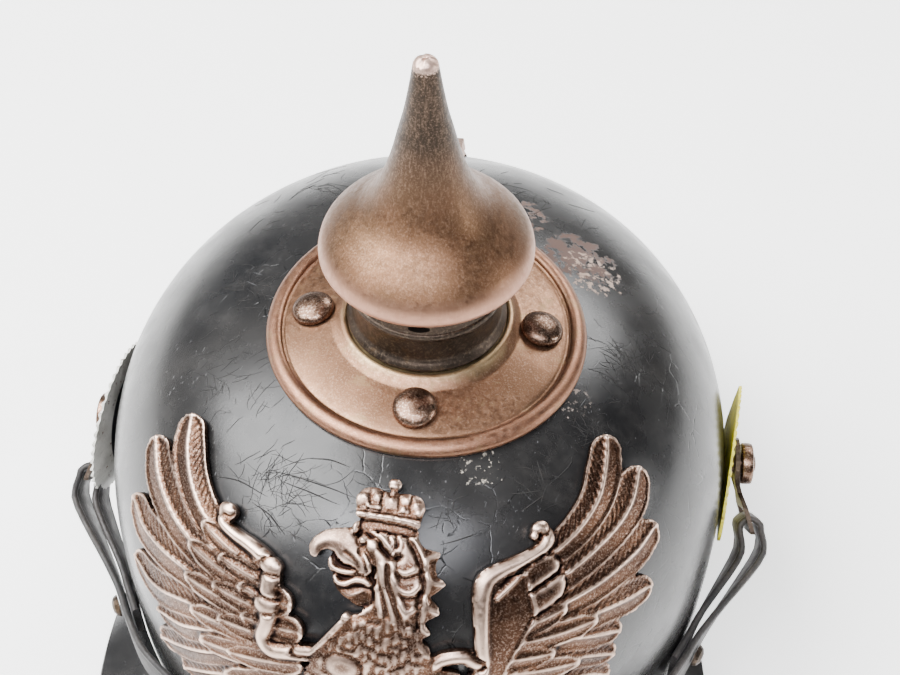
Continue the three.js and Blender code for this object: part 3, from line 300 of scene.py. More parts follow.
def make_lacquer(name, crazed):
    """Leather pressed to shape and lacquered black: a deep gloss with fine crazing, rubs and small chips."""
    material, tree = new_material(name)
    place = add(tree, "ShaderNodeTexCoord").outputs["Object"]
    tone = ramp(tree, noise(tree, place, 45, 3), 0.35, 0.7)
    colour = blend_colour(tree, tone, "#101011", "#252423")
    haze = ramp(tree, noise(tree, place, 9, 6, 0.7), 0.48, 0.8, 0.0, 0.4)
    colour = blend_colour(tree, haze, colour, "#3d3b39")
    grain = noise(tree, place, 0.9, 3)
    height = math_node(tree, "MULTIPLY", grain, 0.25)
    # Rubs are 0.3 mm wide and up to 30 mm long, in two directions.
    for turn in ((0.3, 0.2, 0.5), (1.2, -0.4, 2.1)):
        laid = add(tree, "ShaderNodeMapping", {"Rotation": turn}, {"Vector": place}).outputs[0]
        line = ramp(tree, noise(tree, laid, 0.35, 1, 0.5, (1.0, 0.03, 0.3)), 0.72, 0.8)
        patch = ramp(tree, noise(tree, laid, 30, 2), 0.46, 0.62)
        rub = math_node(tree, "MULTIPLY", line, patch)
        colour = blend_colour(tree, math_node(tree, "MULTIPLY", rub, 0.3), colour, "#77787a")
        height = math_node(tree, "SUBTRACT", height, math_node(tree, "MULTIPLY", rub, 0.4))
    roughness = ramp(tree, noise(tree, place, 14, 5), 0.3, 0.75, 0.2, 0.35)
    if crazed:
        # The craze cells are about 9 mm across, in patches about 35 mm wide.
        bent = add(tree, "ShaderNodeTexNoise", {"Scale": per(6), "Detail": 2.0}, {"Vector": place})
        bend = add(tree, "ShaderNodeVectorMath", {3: 2.4 * MM}, {0: bent.outputs["Color"]}, operation="SCALE")
        moved = add(tree, "ShaderNodeVectorMath", None, {0: place, 1: bend.outputs[0]}, operation="ADD")
        cells = add(tree, "ShaderNodeTexVoronoi", {"Scale": per(9)}, {"Vector": moved.outputs[0]},
                    feature="DISTANCE_TO_EDGE")
        crack = ramp(tree, cells.outputs["Distance"], 0.0, 0.022, 1.0, 0.0)
        where = ramp(tree, noise(tree, place, 30, 3), 0.52, 0.62)
        broken = ramp(tree, noise(tree, place, 3.5, 2), 0.42, 0.56)
        craze = math_node(tree, "MULTIPLY", math_node(tree, "MULTIPLY", crack, where), broken)
        colour = blend_colour(tree, craze, colour, "#050505")
        height = math_node(tree, "SUBTRACT", height, craze)
        for spot, reach, size, hex_colour, low in CHIPPED_PLACES:
            centre = on_shell(*spot) * MM
            away = add(tree, "ShaderNodeVectorMath", {1: centre}, {0: place}, operation="DISTANCE")
            near = ramp(tree, away.outputs["Value"], reach * 0.35 * MM, reach * MM, 1.0, 0.0)
            flake = math_node(tree, "MULTIPLY", noise(tree, place, size, 5, 0.65), near)
            chip = ramp(tree, flake, low, low + 0.05)
            colour = blend_colour(tree, chip, colour, hex_colour)
            height = math_node(tree, "SUBTRACT", height, math_node(tree, "MULTIPLY", chip, 0.8))
            roughness = math_node(tree, "ADD", roughness, math_node(tree, "MULTIPLY", chip, 0.4))
    links = {"Base Color": colour, "Roughness": roughness}
    values = {"IOR": 1.45}
    close_material(tree, values, links, height, 0.06)
    return material


# Places where the lacquer has flaked: [degrees, run], reach, flake size, colour, threshold
CHIPPED_PLACES = [
    ((124, 122), 26, 5, "#4c3830", 0.46), ((116, 121), 22, 2.2, "#9a8577", 0.52),
    ((27, 129), 14, 1.3, "#8d867a", 0.59), ((150, 126), 24, 4, "#54423a", 0.50),
    ((66, 128), 16, 1.6, "#7d7067", 0.59),
]


def make_metal(name, dark, main, bright, grain, rough, patina=None, streak=None, relief_shade_and_rubs=False,
               bands=(), rings=(), speckle=0.3):
    """Old metal: browned steel or gilt brass, darker and lighter in uneven clouds and brighter where it is
    rubbed.

    Bands are [low, high, hex]: heights in mm between which another tone takes over. Rings are the same
    with radii from the spike's axis. Speckle is how strongly the rubbed specks show, and the relief flag
    paints shade into the relief's hollows and lights its raised lines, partly as rubbed gilt and partly as
    painted highlight.
    """
    material, tree = new_material(name)
    place = add(tree, "ShaderNodeTexCoord").outputs["Object"]
    cloud = ramp(tree, noise(tree, place, 14, 4, 0.55), 0.34, 0.68)
    speck = ramp(tree, noise(tree, place, grain, 4, 0.7), 0.5, 0.72)
    colour = blend_colour(tree, cloud, dark, main)
    height = add(tree, "ShaderNodeSeparateXYZ", None, {0: place}).outputs["Z"]
    for low, high, hex_colour in bands:
        ragged = math_node(tree, "ADD", height, math_node(tree, "MULTIPLY", speck, 1.5 * MM))
        colour = blend_colour(tree, ramp(tree, ragged, low * MM, high * MM), colour, hex_colour)
    if rings:
        flat = add(tree, "ShaderNodeVectorMath", {1: (1, 1, 0)}, {0: place}, operation="MULTIPLY").outputs[0]
        axis = (AXIS_X * MM, AXIS_Y * MM, 0)
        away = add(tree, "ShaderNodeVectorMath", {1: axis}, {0: flat}, operation="DISTANCE").outputs["Value"]
        uneven = math_node(tree, "ADD", cloud, noise(tree, place, 3, 5, 0.7))
        ragged = math_node(tree, "ADD", away, math_node(tree, "MULTIPLY", uneven, 2.4 * MM))
        for low, high, hex_colour in rings:
            colour = blend_colour(tree, ramp(tree, ragged, low * MM, high * MM), colour, hex_colour)
    colour = blend_colour(tree, math_node(tree, "MULTIPLY", speck, speckle), colour, bright)
    if streak:
        # Polishing lines round the turned form, drawn coarse enough to show.
        lines = noise(tree, place, 0.6, 2, 0.5, streak)
        colour = blend_colour(tree, ramp(tree, lines, 0.5, 0.75, 0.0, 0.1), colour, bright)
    if patina:
        spots = ramp(tree, noise(tree, place, 6, 6, 0.7), 0.56, 0.66)
        colour = blend_colour(tree, math_node(tree, "MULTIPLY", spots, 0.45), colour, patina)
    if relief_shade_and_rubs:
        # Painted shade darkens the relief's hollows and its back towards near black. The raised lines are
        # lightened, partly as rubbed gilt and partly as painted highlight.
        worn = add(tree, "ShaderNodeAttribute", attribute_name="relief_shade_and_rubs").outputs["Fac"]
        patchy = ramp(tree, cloud, 0.0, 1.0, 0.5, 0.95)
        rubbed = math_node(tree, "MULTIPLY", ramp(tree, worn, 0.54, 0.74), patchy)
        colour = blend_colour(tree, ramp(tree, worn, 0.44, 0.24), colour, "#140b09")
        colour = blend_colour(tree, rubbed, colour, bright)
    roughness = ramp(tree, noise(tree, place, grain * 3, 5, 0.65), 0.3, 0.7, rough - 0.08, rough + 0.14)
    pits = math_node(tree, "ADD", noise(tree, place, grain, 4, 0.7), noise(tree, place, 4, 3))
    links = {"Base Color": colour, "Roughness": roughness}
    close_material(tree, {"Metallic": 1.0}, links, pits, 0.03)
    return material


def make_leather(name, face, worn):
    """Vegetable tanned strap leather, waxed dark: pebbled grain of about 0.8 mm and rubbed edges."""
    material, tree = new_material(name)
    place = add(tree, "ShaderNodeTexCoord").outputs["Object"]
    cells = add(tree, "ShaderNodeTexVoronoi", {"Scale": per(0.9)}, {"Vector": place}, feature="F1")
    tone = ramp(tree, noise(tree, place, 12, 5, 0.6), 0.35, 0.72)
    colour = blend_colour(tree, tone, face, worn)
    colour = blend_colour(tree, ramp(tree, cells.outputs["Distance"], 0.2, 0.8, 0.0, 0.35), colour, "#0b0a0a")
    crease = noise(tree, place, 1.6, 4, 0.6, (1.0, 1.0, 0.25))
    height = math_node(tree, "SUBTRACT", crease, cells.outputs["Distance"])
    roughness = ramp(tree, noise(tree, place, 5, 4), 0.3, 0.7, 0.42, 0.66)
    close_material(tree, {"IOR": 1.46, "Sheen Weight": 0.1}, {"Base Color": colour, "Roughness": roughness},
                   height, 0.12)
    return material


def make_paint(name, main, shade, rings=None):
    """Brushed oil paint on a stamped metal disc: satin, worn to rust at the ribs. Rings are [radius, hex]."""
    material, tree = new_material(name)
    coordinates = add(tree, "ShaderNodeTexCoord")
    place = coordinates.outputs["Object"]
    tone = ramp(tree, noise(tree, place, 7, 4), 0.35, 0.7)
    colour = blend_colour(tree, tone, shade, main)
    if rings:
        centre = COCKADE_SEATS[-1] * MM
        measured = add(tree, "ShaderNodeVectorMath", {1: centre}, {0: place}, operation="DISTANCE")
        away = measured.outputs["Value"]
        for radius, hex_colour in rings:
            inside = ramp(tree, away, (radius - 0.3) * MM, radius * MM, 1.0, 0.0)
            colour = blend_colour(tree, inside, colour, hex_colour)
    rust = ramp(tree, noise(tree, place, 2.2, 6, 0.7), 0.60, 0.66)
    colour = blend_colour(tree, rust, colour, "#5a2f1c")
    dirt = ramp(tree, noise(tree, place, 1.2, 4, 0.7), 0.55, 0.8, 0.0, 0.4)
    colour = blend_colour(tree, dirt, colour, "#4b4424")
    height = math_node(tree, "SUBTRACT", noise(tree, place, 1.0, 3), rust)
    close_material(tree, {"IOR": 1.48}, {
        "Base Color": colour, "Roughness": ramp(tree, rust, 0.0, 1.0, 0.42, 0.8),
    }, height, 0.08)
    return material


POST_RUN = run_at_height(POST_HEIGHT_ON_SHELL)
COCKADE_SEATS = {side: on_shell(90.0 * side, POST_RUN) for side in (-1, 1)}
COCKADE_AXES = {side: shell_normal(90.0 * side, POST_RUN) for side in (-1, 1)}

# Deep black gloss, crazed and chipped over the dome and plain on the visors
shell_lacquer = make_lacquer("black_lacquered_leather", True)
visor_lacquer = make_lacquer("black_lacquered_visor_leather", False)
# Warm brown satin steel, greyer up the neck and rubbed light at the tip, with a painted reflection of the
# floor as a light band round the lower rim
spike_steel = make_metal("browned_turned_steel", "#5f4734", "#6c4e3a", "#c9a58c", 0.5, 0.43,
                         streak=(1.0, 1.0, 0.03), bands=[(180, 202, "#332c26"), (170, 163, "#b98d78"),
                                                         (219.5, 221, "#c9ab9c")], speckle=0.18)
# Coppery sheet with a yellowish deposit round the collar and a darker rolled rim
plate_steel = make_metal("coppery_pressed_steel", "#6b4f3c", "#86644d", "#dcbca4", 0.5, 0.4,
                         patina="#8b7657", rings=[(26.4, 23.6, "#a08c69"), (41.0, 42.4, "#85604c")],
                         speckle=0.25)
# Brown steel whose domes are speckled bright where they are rubbed
rivet_steel = make_metal("brown_rivet_steel", "#4a372c", "#7d6150", "#ead0bd", 0.5, 0.3, speckle=0.5)
# Dark steel, nearly black, with a little rust: collar, buckles and loops
fitting_steel = make_metal("dark_fitting_steel", "#2c2622", "#4a4038", "#95836f", 0.8, 0.42,
                           patina="#55432f")
# Worn gilt on stamped metal: painted shade darkens the hollows to dark brown, and the bright pinkish ridges
# are partly rubbed gilt and partly painted highlight
griffin_metal = make_metal("gilt_worn_stamped_metal", "#35231a", "#5b4030", "#f3d2bd", 0.5, 0.33,
                           relief_shade_and_rubs=True)
# The black of an opening
shadowed_steel = make_metal("unpolished_steel_in_shadow", "#080707", "#0f0d0c", "#1c1816", 0.6, 0.6)
# Nearly black waxed leather, greyer where it bends
strap_leather = make_leather("waxed_strap_leather", "#1b1918", "#3d3733")
# Bright yellow and dull white paints, rusted through in spots
yellow_paint = make_paint("yellow_brushed_paint", "#e6dc34", "#b5aa22")
ringed_paint = make_paint("white_black_ringed_paint", "#d9d7cf", "#aeaca4",
                          rings=[(15.2, "#17171a"), (9.0, "#dcd9d0")])


# Shell

SHELL_EDGE = 0.3


def make_shell():
    columns = 160
    degrees = np.arange(columns) * 360 / columns
    top = PROFILE_LENGTH - 0.02
    inner = [on_shell(degrees, run, -SHELL_WALL) for run in np.linspace(top, SHELL_EDGE, 50)]
    # The lower edge is bevelled on both faces.
    edge = [on_shell(degrees, 0, SHELL_EDGE - SHELL_WALL), on_shell(degrees, 0, -SHELL_EDGE)]
    outer = [on_shell(degrees, run) for run in np.linspace(SHELL_EDGE, top, 90)]
    rows = inner + edge + outer
    points = np.concatenate(rows)
    piece("shell_leather", points, grid_faces(len(rows), columns, wrap=True), shell_lacquer,
          ["shell"], sharp=60)


make_shell()


# Visors

VISOR_OVERALL_REACH, VISOR_END_WIDTH, VISOR_RISE = 150.0, 4.0, 3.0
VISOR_CURVE_POWER, VISOR_FULL_FALL_SPREAD, VISOR_COLUMNS = 1.8, 0.8, 120
FRONT_VISOR_ANGLE, FRONT_VISOR_THICKNESS = 66.0, 2.2
REAR_VISOR_ANGLE, REAR_VISOR_THICKNESS, REAR_EDGE_TOP = 74.0, 2.4, 1.6
TRIM_WALL, TRIM_NOSE, TRIM_CLEARANCE, TRIM_FOOT_START = 0.7, 1.8, 0.5, 0.4
SKIVE = 0.5
VISOR_REACH = VISOR_OVERALL_REACH - SHELL_HALF_LENGTH - GAP


def visor_grid(half_angle, middle, reach, edge_top, shares):
    """Rows of points over a visor from the shell out to its edge."""
    share = np.linspace(-1, 1, VISOR_COLUMNS + 1)
    degrees = middle + half_angle * share
    spread = np.cos(np.pi / 2 * np.abs(share) ** VISOR_CURVE_POWER)
    length = VISOR_END_WIDTH + (reach - VISOR_END_WIDTH) * spread
    fall = (SHELL_BASE + VISOR_RISE - edge_top) * np.minimum(1, spread / VISOR_FULL_FALL_SPREAD)
    rows = []
    for out in shares:
        points = on_shell(degrees, 0.0, GAP)
        points[:, 0] += np.sin(np.radians(degrees)) * length * out
        points[:, 1] -= np.cos(np.radians(degrees)) * length * out
        points[:, 2] = SHELL_BASE + VISOR_RISE - fall * out
        rows.append(points)
    return np.array(rows)


def make_visor(name, node, half_angle, middle, reach, edge_top, thickness):
    shares = np.linspace(0, 1, 26)
    top = visor_grid(half_angle, middle, reach, edge_top, shares)
    bottom = top.copy()
    bottom[..., 2] = np.maximum(top[..., 2] - thickness, 0)
    # The edge is skived: its last row loses a little of the top face.
    top[-1, :, 2] -= SKIVE
    points, faces = sheet(top, bottom)
    piece(name, points, faces, visor_lacquer, [node])


FRONT_REACH = VISOR_REACH - TRIM_NOSE
FRONT_SLOPE = math.atan2(SHELL_BASE, FRONT_REACH)
TRIM_HALF_DEPTH = FRONT_VISOR_THICKNESS / 2 + TRIM_CLEARANCE + TRIM_WALL
FRONT_FOOT = TRIM_FOOT_START * math.sin(FRONT_SLOPE) + TRIM_HALF_DEPTH * math.cos(FRONT_SLOPE)
FRONT_UPRIGHT_THICKNESS = FRONT_VISOR_THICKNESS / math.cos(FRONT_SLOPE)
REAR_FALL = SHELL_BASE + VISOR_RISE - REAR_EDGE_TOP
REAR_UPRIGHT_THICKNESS = REAR_VISOR_THICKNESS * math.hypot(1, REAR_FALL / VISOR_REACH)
make_visor("front_visor_leather", "front_visor", FRONT_VISOR_ANGLE, 0, FRONT_REACH,
           FRONT_FOOT + FRONT_UPRIGHT_THICKNESS / 2, FRONT_UPRIGHT_THICKNESS)
make_visor("rear_visor_leather", "rear_visor", REAR_VISOR_ANGLE, 180, VISOR_REACH,
           REAR_EDGE_TOP, REAR_UPRIGHT_THICKNESS)


# Base plate, rivets, collar and spike

def make_base_plate():
    segments = 192
    angle = np.linspace(0, 2 * np.pi, segments, endpoint=False)
    ring = PLATE_FLAT + PLATE_FOOT_RING
    roll = np.linspace(math.pi, 0, 12)
    rolled = [(PLATE_RADIUS - 2.2 + 2.2 * math.cos(a), 1.7 * math.sin(a)) for a in roll]
    face = spline([(25.2, 0.05), (28, 0.0), (34, 0.0), (37.2, -0.15), (38.2, -0.35), (39.0, 0.1)], 3)
    rows = [
        (2.0, None, PLATE_FLAT), (COLLAR_EDGE + 0.4, None, PLATE_FLAT),
        (COLLAR_EDGE + 0.7, None, ring - 0.3), (COLLAR_EDGE + 1.2, None, ring),
        (COLLAR_EDGE + 1.9, None, ring - 0.15), (COLLAR_EDGE + 2.5, None, ring - 0.5),
    ]
    rows += [(r, h, None) for r, h in face] + [(r, h, None) for r, h in rolled]
    rows += [(PLATE_RADIUS - 0.3, -1.0, None), (PLATE_RADIUS - 4, -1.1, None), (4.0, -1.1, None)]
    points = []
    for radius, rise, flat in rows:
        x = AXIS_X + radius * np.cos(angle)
        y = AXIS_Y + radius * np.sin(angle)
        ground = shell_height_at(x, y) + GAP + PLATE_THICKNESS
        z = np.full(segments, flat) if rise is None else ground + rise
        points.append(np.stack([x, y, z], -1))
    piece("base_plate_steel", np.concatenate(points), grid_faces(len(rows), segments, wrap=True),
          plate_steel, ["base_plate"], sharp=50)


make_base_plate()


def dome(radius, height):
    """A domed rivet head's profile, with a short upright side."""
    rim = 0.16
    turns = np.linspace(0.12, 1.57, 12)
    arc = [(radius * math.cos(a), height * (rim + (1 - rim) * math.sin(a))) for a in turns]
    return [(0, 0), (radius * 0.96, 0), (radius, height * 0.08), *arc, (0, height)]


for number in range(4):
    angle = -math.pi / 2 + number * math.pi / 2
    across = np.array([math.cos(angle), math.sin(angle)])
    around = [AXIS_X, AXIS_Y] + np.outer([RIVET_CIRCLE - 3, RIVET_CIRCLE, RIVET_CIRCLE + 3], across)
    inner, middle, outer = shell_height_at(around[:, 0], around[:, 1])
    fall = (outer - inner) / 6
    points, faces = turned(dome(RIVET_RADIUS, RIVET_HEIGHT), 48)
    seat = (*around[1], middle + 2 * GAP + PLATE_THICKNESS)
    piece(f"base_rivet_head_{number + 1}", stood(points, seat, (*(-fall * across), 1)), faces, rivet_steel,
          [f"base_rivet_{number + 1}"])


def make_collar():
    wall = COLLAR_EDGE - 1.2
    inner = wall - COLLAR_WALL
    bead = [(wall + 0.95 * math.sin(a), 12 - 1.25 * math.cos(a)) for a in np.linspace(0.1, math.pi - 0.1, 9)]
    foot = spline([(COLLAR_EDGE, 0), (COLLAR_EDGE + 0.5, 0.9), (COLLAR_EDGE, 1.9),
                   (wall + 0.2, 3.2), (wall, 5)], 4)
    profile = [(inner, 0), *foot, (wall, 10.4), *bead, (wall, 13.6), (wall, COLLAR_HEIGHT - 0.3),
               (wall - 0.3, COLLAR_HEIGHT), (inner, COLLAR_HEIGHT), (inner, 0)]
    points, faces = turned(profile, 128)
    points = points + [AXIS_X, AXIS_Y, COLLAR_FOOT]
    piece("spike_collar_steel", points, faces, fitting_steel, ["spike_collar"])


def make_bayonet_slot():
    """The dark opening in the collar's front wall where the spike's lug turns in."""
    angle = np.radians(np.linspace(-98, -82, 17))
    share = np.sin(np.linspace(0.1, np.pi - 0.1, 17)) ** 0.5
    wall = COLLAR_EDGE - 1.2
    sections = []
    for turn, reach in zip(angle, share):
        out = np.array([math.cos(turn), math.sin(turn), 0])
        middle = np.array([AXIS_X, AXIS_Y, COLLAR_FOOT + 15])
        sections.append([middle + out * (wall + depth) + [0, 0, rise * reach]
                         for depth, rise in [(-0.3, -1.1), (0.04, -1.1), (0.04, 1.1), (-0.3, 1.1)]])
    points, faces = lofted(sections)
    piece("collar_bayonet_slot", points, faces, shadowed_steel, sharp=50)


make_collar()
make_bayonet_slot()

# The spike's outline, as shares of the bulb's radius and of the spike's height
SPIKE_OUTLINE = [
    (0.82, 0), (0.93, 0.008), (0.985, 0.026), (1, 0.052), (0.963, 0.108), (0.865, 0.164), (0.735, 0.218),
    (0.61, 0.267), (0.51, 0.322), (0.428, 0.388), (0.362, 0.46), (0.303, 0.548), (0.242, 0.66),
    (0.196, 0.742), (0.16, 0.824), (0.131, 0.9), (0.112, 0.955),
]


def make_spike():
    outer = spline(SPIKE_OUTLINE, 6)
    outer[:, 0] = np.minimum(outer[:, 0], 1.0) * SPIKE_BULB_RADIUS
    outer[:, 1] = np.maximum(outer[:, 1], 0) * SPIKE_HEIGHT
    tip_radius = outer[-1, 0]
    tip_base = outer[-1, 1]
    rise = SPIKE_HEIGHT - tip_base
    tip = [(tip_radius * math.cos(a), tip_base + rise * math.sin(a)) for a in np.linspace(0.15, 1.2, 8)]
    inner = [(26.0, 4.5), (24, 1.6), (8, 1.2)]
    profile = [(8, 0.0), (21.5, 0.0), *outer, *tip, (tip_radius * 0.25, SPIKE_HEIGHT - 0.15),
               (0, SPIKE_HEIGHT - 0.5), (0, 30), *inner, (8, 0.0)]
    points, faces = turned(profile, 144)
    # The blunt tip is crimped: a small six-pointed star pressed into the end.
    radius = np.hypot(points[:, 0], points[:, 1])
    turn = np.arctan2(points[:, 1], points[:, 0])
    near_tip = (points[:, 2] > tip_base + rise * 0.55) & (radius < tip_radius * 0.85)
    points[near_tip, 2] -= 0.35 * np.maximum(np.cos(3 * turn[near_tip]), 0) ** 2
    points = points + [AXIS_X, AXIS_Y, SPIKE_FOOT]
    piece("spike_steel_turned", points, faces, spike_steel, ["spike"], "spike", 42)


make_spike()


# Cockades and posts

def make_cockade(side, label, paint, lean, tilt):
    """A disc with a serrated rim and pressed ribs, worn askew: its front and its top lean to the shell."""
    segments, teeth = 384, 48
    angle = np.linspace(0, 2 * np.pi, segments, endpoint=False)
    wave = np.cos(angle * teeth)
    radii = np.array([POST_SHAFT + 0.4, 6, 8.5, 9.2, 14.6, 15.2, 20.8, 21.6, 23.2, COCKADE_RADIUS - 0.35])
    lift = np.interp(radii, [0, 10.2, 17, 24], [0, 0, 0.45, COCKADE_DISH])
    ribs = np.array([0, 0, 0, 0.12, 0.18, 0.05, 0.05, 0.3, 0.35, 0.3])
    top, bottom = [], []
    for radius, height, rib in zip(radii, lift, ribs):
        reach = radius + (0.33 * wave if radius > 23.5 else 0)
        x, y = reach * np.cos(angle), reach * np.sin(angle)
        share = max(radius - 8, 0) / (COCKADE_RADIUS - 8)
        bent = height + share * (lean * x - tilt * y) / COCKADE_RADIUS
        top.append(np.stack([x, y, bent + COCKADE_THICKNESS * 0.72 + rib * 0.8 * wave], -1))
        bottom.append(np.stack([x, y, bent + 0.02], -1))
    rows = [*bottom[:1], *top, *bottom[::-1]]
    points = np.concatenate(rows)
    faces = grid_faces(len(rows), segments, wrap=True)
    seat = COCKADE_SEATS[side] + COCKADE_AXES[side] * GAP
    placed = points[:, [2, 0, 1]] * [side, side, 1] + seat
    piece(f"cockade_disc_{label}", placed, faces, paint, [f"cockade_{label}"], sharp=50)


make_cockade(-1, "left", ringed_paint, 3.4, 3.0)
make_cockade(1, "right", yellow_paint, 3.5, 1.4)

CONNECTOR_SEAT = GAP + COCKADE_DISH + COCKADE_THICKNESS + GAP * 2
LOOP_LIFT = (POST_HEAD - CONNECTOR_BEND_START) * CONNECTOR_BEND_SLOPE
HEAD_SEAT = CONNECTOR_SEAT + CONNECTOR_THICKNESS + LOOP_LIFT + GAP


def make_post(side, label):
    top = HEAD_SEAT + POST_HEAD_LENGTH
    head = spline([(POST_HEAD - 0.5, HEAD_SEAT), (POST_HEAD, HEAD_SEAT + 0.6), (POST_HEAD, top - 1.3),
                   (POST_HEAD * 0.9, top - 0.4), (POST_HEAD * 0.45, top), (POST_HEAD * 0.38, top + 0.3),
                   (POST_HEAD * 0.3, top + 0.6), (0, top + 0.8)], 4)
    profile = [(0, GAP), (POST_SHAFT, GAP), (POST_SHAFT, HEAD_SEAT), *head]
    points, faces = turned(profile, 64)
    points = stood(points, COCKADE_SEATS[side], COCKADE_AXES[side])
    piece(f"side_post_steel_{label}", points, faces, rivet_steel, [f"side_post_{label}"])


for side, label in ((-1, "left"), (1, "right")):
    make_post(side, label)


# Part solids that keep their shape and take a finish

def dress(name, material, bevel=None):
    node = cad_nodes[name]
    node.data.materials.clear()
    node.data.materials.append(material)
    if bevel:
        edge = node.modifiers.new("edge", "BEVEL")
        edge.width = bevel * MM
        edge.segments = 2
        edge.limit_method = "ANGLE"
        edge.angle_limit = math.radians(40)
        edge.harden_normals = True


dress("front_visor_trim", fitting_steel, 0.15)
dress("rear_spine", plate_steel, 0.15)
dress("vent_housing", plate_steel, 0.15)
dress("vent_slider", rivet_steel, 0.12)
dress("spine_stud", rivet_steel)
for label in ("left", "right"):
    dress(f"strap_connector_{label}", fitting_steel, 0.25)
    dress(f"strap_buckle_{label}", fitting_steel, 0.3)
    dress(f"strap_stud_{label}", fitting_steel)


# Chin strap: one band folded round both loops, as in the part, with rounded edges and smooth bends

STRAP_WIDTH, STRAP_THICKNESS, STRAP_HEIGHT_ON_SHELL = 15.0, 2.0, 11.5
STRAP_CLEARANCE, STRAP_LEAD, STRAP_TUCK_ANGLE = 0.8, 9.0, 57.0
LOOP_HEIGHT, LOOP_BAR, CONNECTOR_LENGTH, CONNECTOR_SWING = 8.0, 2.6, 17.0, 50.0
strap_run = run_at_height(STRAP_HEIGHT_ON_SHELL)
fold_radius = LOOP_BAR / 2 + 0.9 + STRAP_THICKNESS / 2
inner_layer = STRAP_CLEARANCE + STRAP_THICKNESS / 2
outer_layer = inner_layer + STRAP_THICKNESS + 0.6


def strap_half(side):
    """Stations of one half, each a centre and the direction of the band's width."""
    seat, normal = COCKADE_SEATS[side], COCKADE_AXES[side]
    swing = math.radians(CONNECTOR_SWING)
    up = np.array([0, math.sin(swing), math.cos(swing)])
    up -= normal * (up @ normal)
    up /= np.linalg.norm(up)
    across = np.cross(up, normal)
    bar_drop = CONNECTOR_LENGTH + LOOP_HEIGHT / 2 - LOOP_BAR / 2
    bend = (bar_drop - CONNECTOR_BEND_START) * CONNECTOR_BEND_SLOPE
    lift = CONNECTOR_SEAT + CONNECTOR_THICKNESS / 2 + bend
    bar = seat + normal * lift - up * bar_drop
    slanted = across * (-1 if across[2] < 0 else 1)
    upright = np.array([0, 0, 1.0])
    stations = []

    def on_head(degrees, offset, lean, rise=0.0):
        width = upright + (slanted - upright) * lean
        stations.append((on_shell(side * degrees, strap_run, offset) + [0, 0, rise], width))

    on_head(STRAP_TUCK_ANGLE, inner_layer, 0)
    on_head(STRAP_TUCK_ANGLE + 5, inner_layer, 0.1, 0.8)
    on_head(STRAP_TUCK_ANGLE + 10, inner_layer + 0.3, 0.4, 2.4)
    stations.append((bar - up * STRAP_LEAD - normal * fold_radius, slanted))
    for turn in np.radians([180, 150, 110, 70, 30, 0]):
        stations.append((bar + fold_radius * (normal * math.cos(turn) + up * math.sin(turn)), slanted))
    stations.append((bar - up * STRAP_LEAD + normal * fold_radius, slanted))
    on_head(STRAP_TUCK_ANGLE + 10, outer_layer + 1.4, 0.4, 2.4)
    on_head(STRAP_TUCK_ANGLE + 5, outer_layer, 0.1, 0.8)
    on_head(STRAP_TUCK_ANGLE, outer_layer, 0)
    on_head(STRAP_TUCK_ANGLE - 7, outer_layer, 0)
    on_head(STRAP_TUCK_ANGLE - 14, inner_layer + 0.6, 0)
    return stations


def make_strap():
    front = [(on_shell(angle, strap_run, inner_layer), np.array([0, 0, 1.0])) for angle in range(-36, 37, 6)]
    stations = strap_half(-1) + front + strap_half(1)[::-1]
    centre = spline([point for point, _ in stations], 5)
    width = spline([wide for _, wide in stations], 5)
    along = np.gradient(centre, axis=0)
    along /= np.linalg.norm(along, axis=1, keepdims=True)
    face = np.cross(along, width)
    face /= np.linalg.norm(face, axis=1, keepdims=True)
    wide = np.cross(face, along)
    half, thick, edge = STRAP_WIDTH / 2, STRAP_THICKNESS / 2, 0.6
    # Half the section: a rounded edge, then a creased line 1.6 mm in from it.
    side = [(half, 0), (half - 0.12, thick * 0.45), (half - edge, thick * 0.94), (half - 1.3, thick),
            (half - 1.6, thick - 0.22), (half - 1.9, thick)]
    top = side + [(-w, t) for w, t in side[::-1]]
    section = np.array(top + [(w, -t) for w, t in top[-2:0:-1]])
    sections = (centre[:, None] + wide[:, None] * section[:, :1] + face[:, None] * section[:, 1:])
    points, faces = lofted(sections)
    # The smooth bends bulge no further out than the part's own strap.
    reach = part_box("chin_strap")[1][0] / MM
    points[:, 0] = np.clip(points[:, 0], -reach, reach)
    piece("chin_strap_leather", points, faces, strap_leather, ["chin_strap"], sharp=50)


make_strap()


# Griffin plate: a relief worked out on a grid of degrees and run, then laid over the shell

STANDOFF = 1.0
SHEET = 0.9
GRID_DEGREES = np.arange(-65.0, 65.01, 0.36)
GRID_RUNS = np.arange(22.0, 129.6, 0.5)
FAR = 50.0
LINE_STEPS = 10
height_map = np.full((len(GRID_RUNS), len(GRID_DEGREES)), SHEET)
edge_map = np.full(height_map.shape, FAR)


def window(points, margin):
    """The part of the grid that lies round some points, as slices and as degrees and runs."""
    points = np.asarray(points, float)
    turn = margin / 0.9
    columns = slice(*np.searchsorted(GRID_DEGREES, [points[:, 0].min() - turn, points[:, 0].max() + turn]))
    rows = slice(*np.searchsorted(GRID_RUNS, [points[:, 1].min() - margin, points[:, 1].max() + margin]))
    return (rows, columns), GRID_DEGREES[None, columns], GRID_RUNS[rows, None]


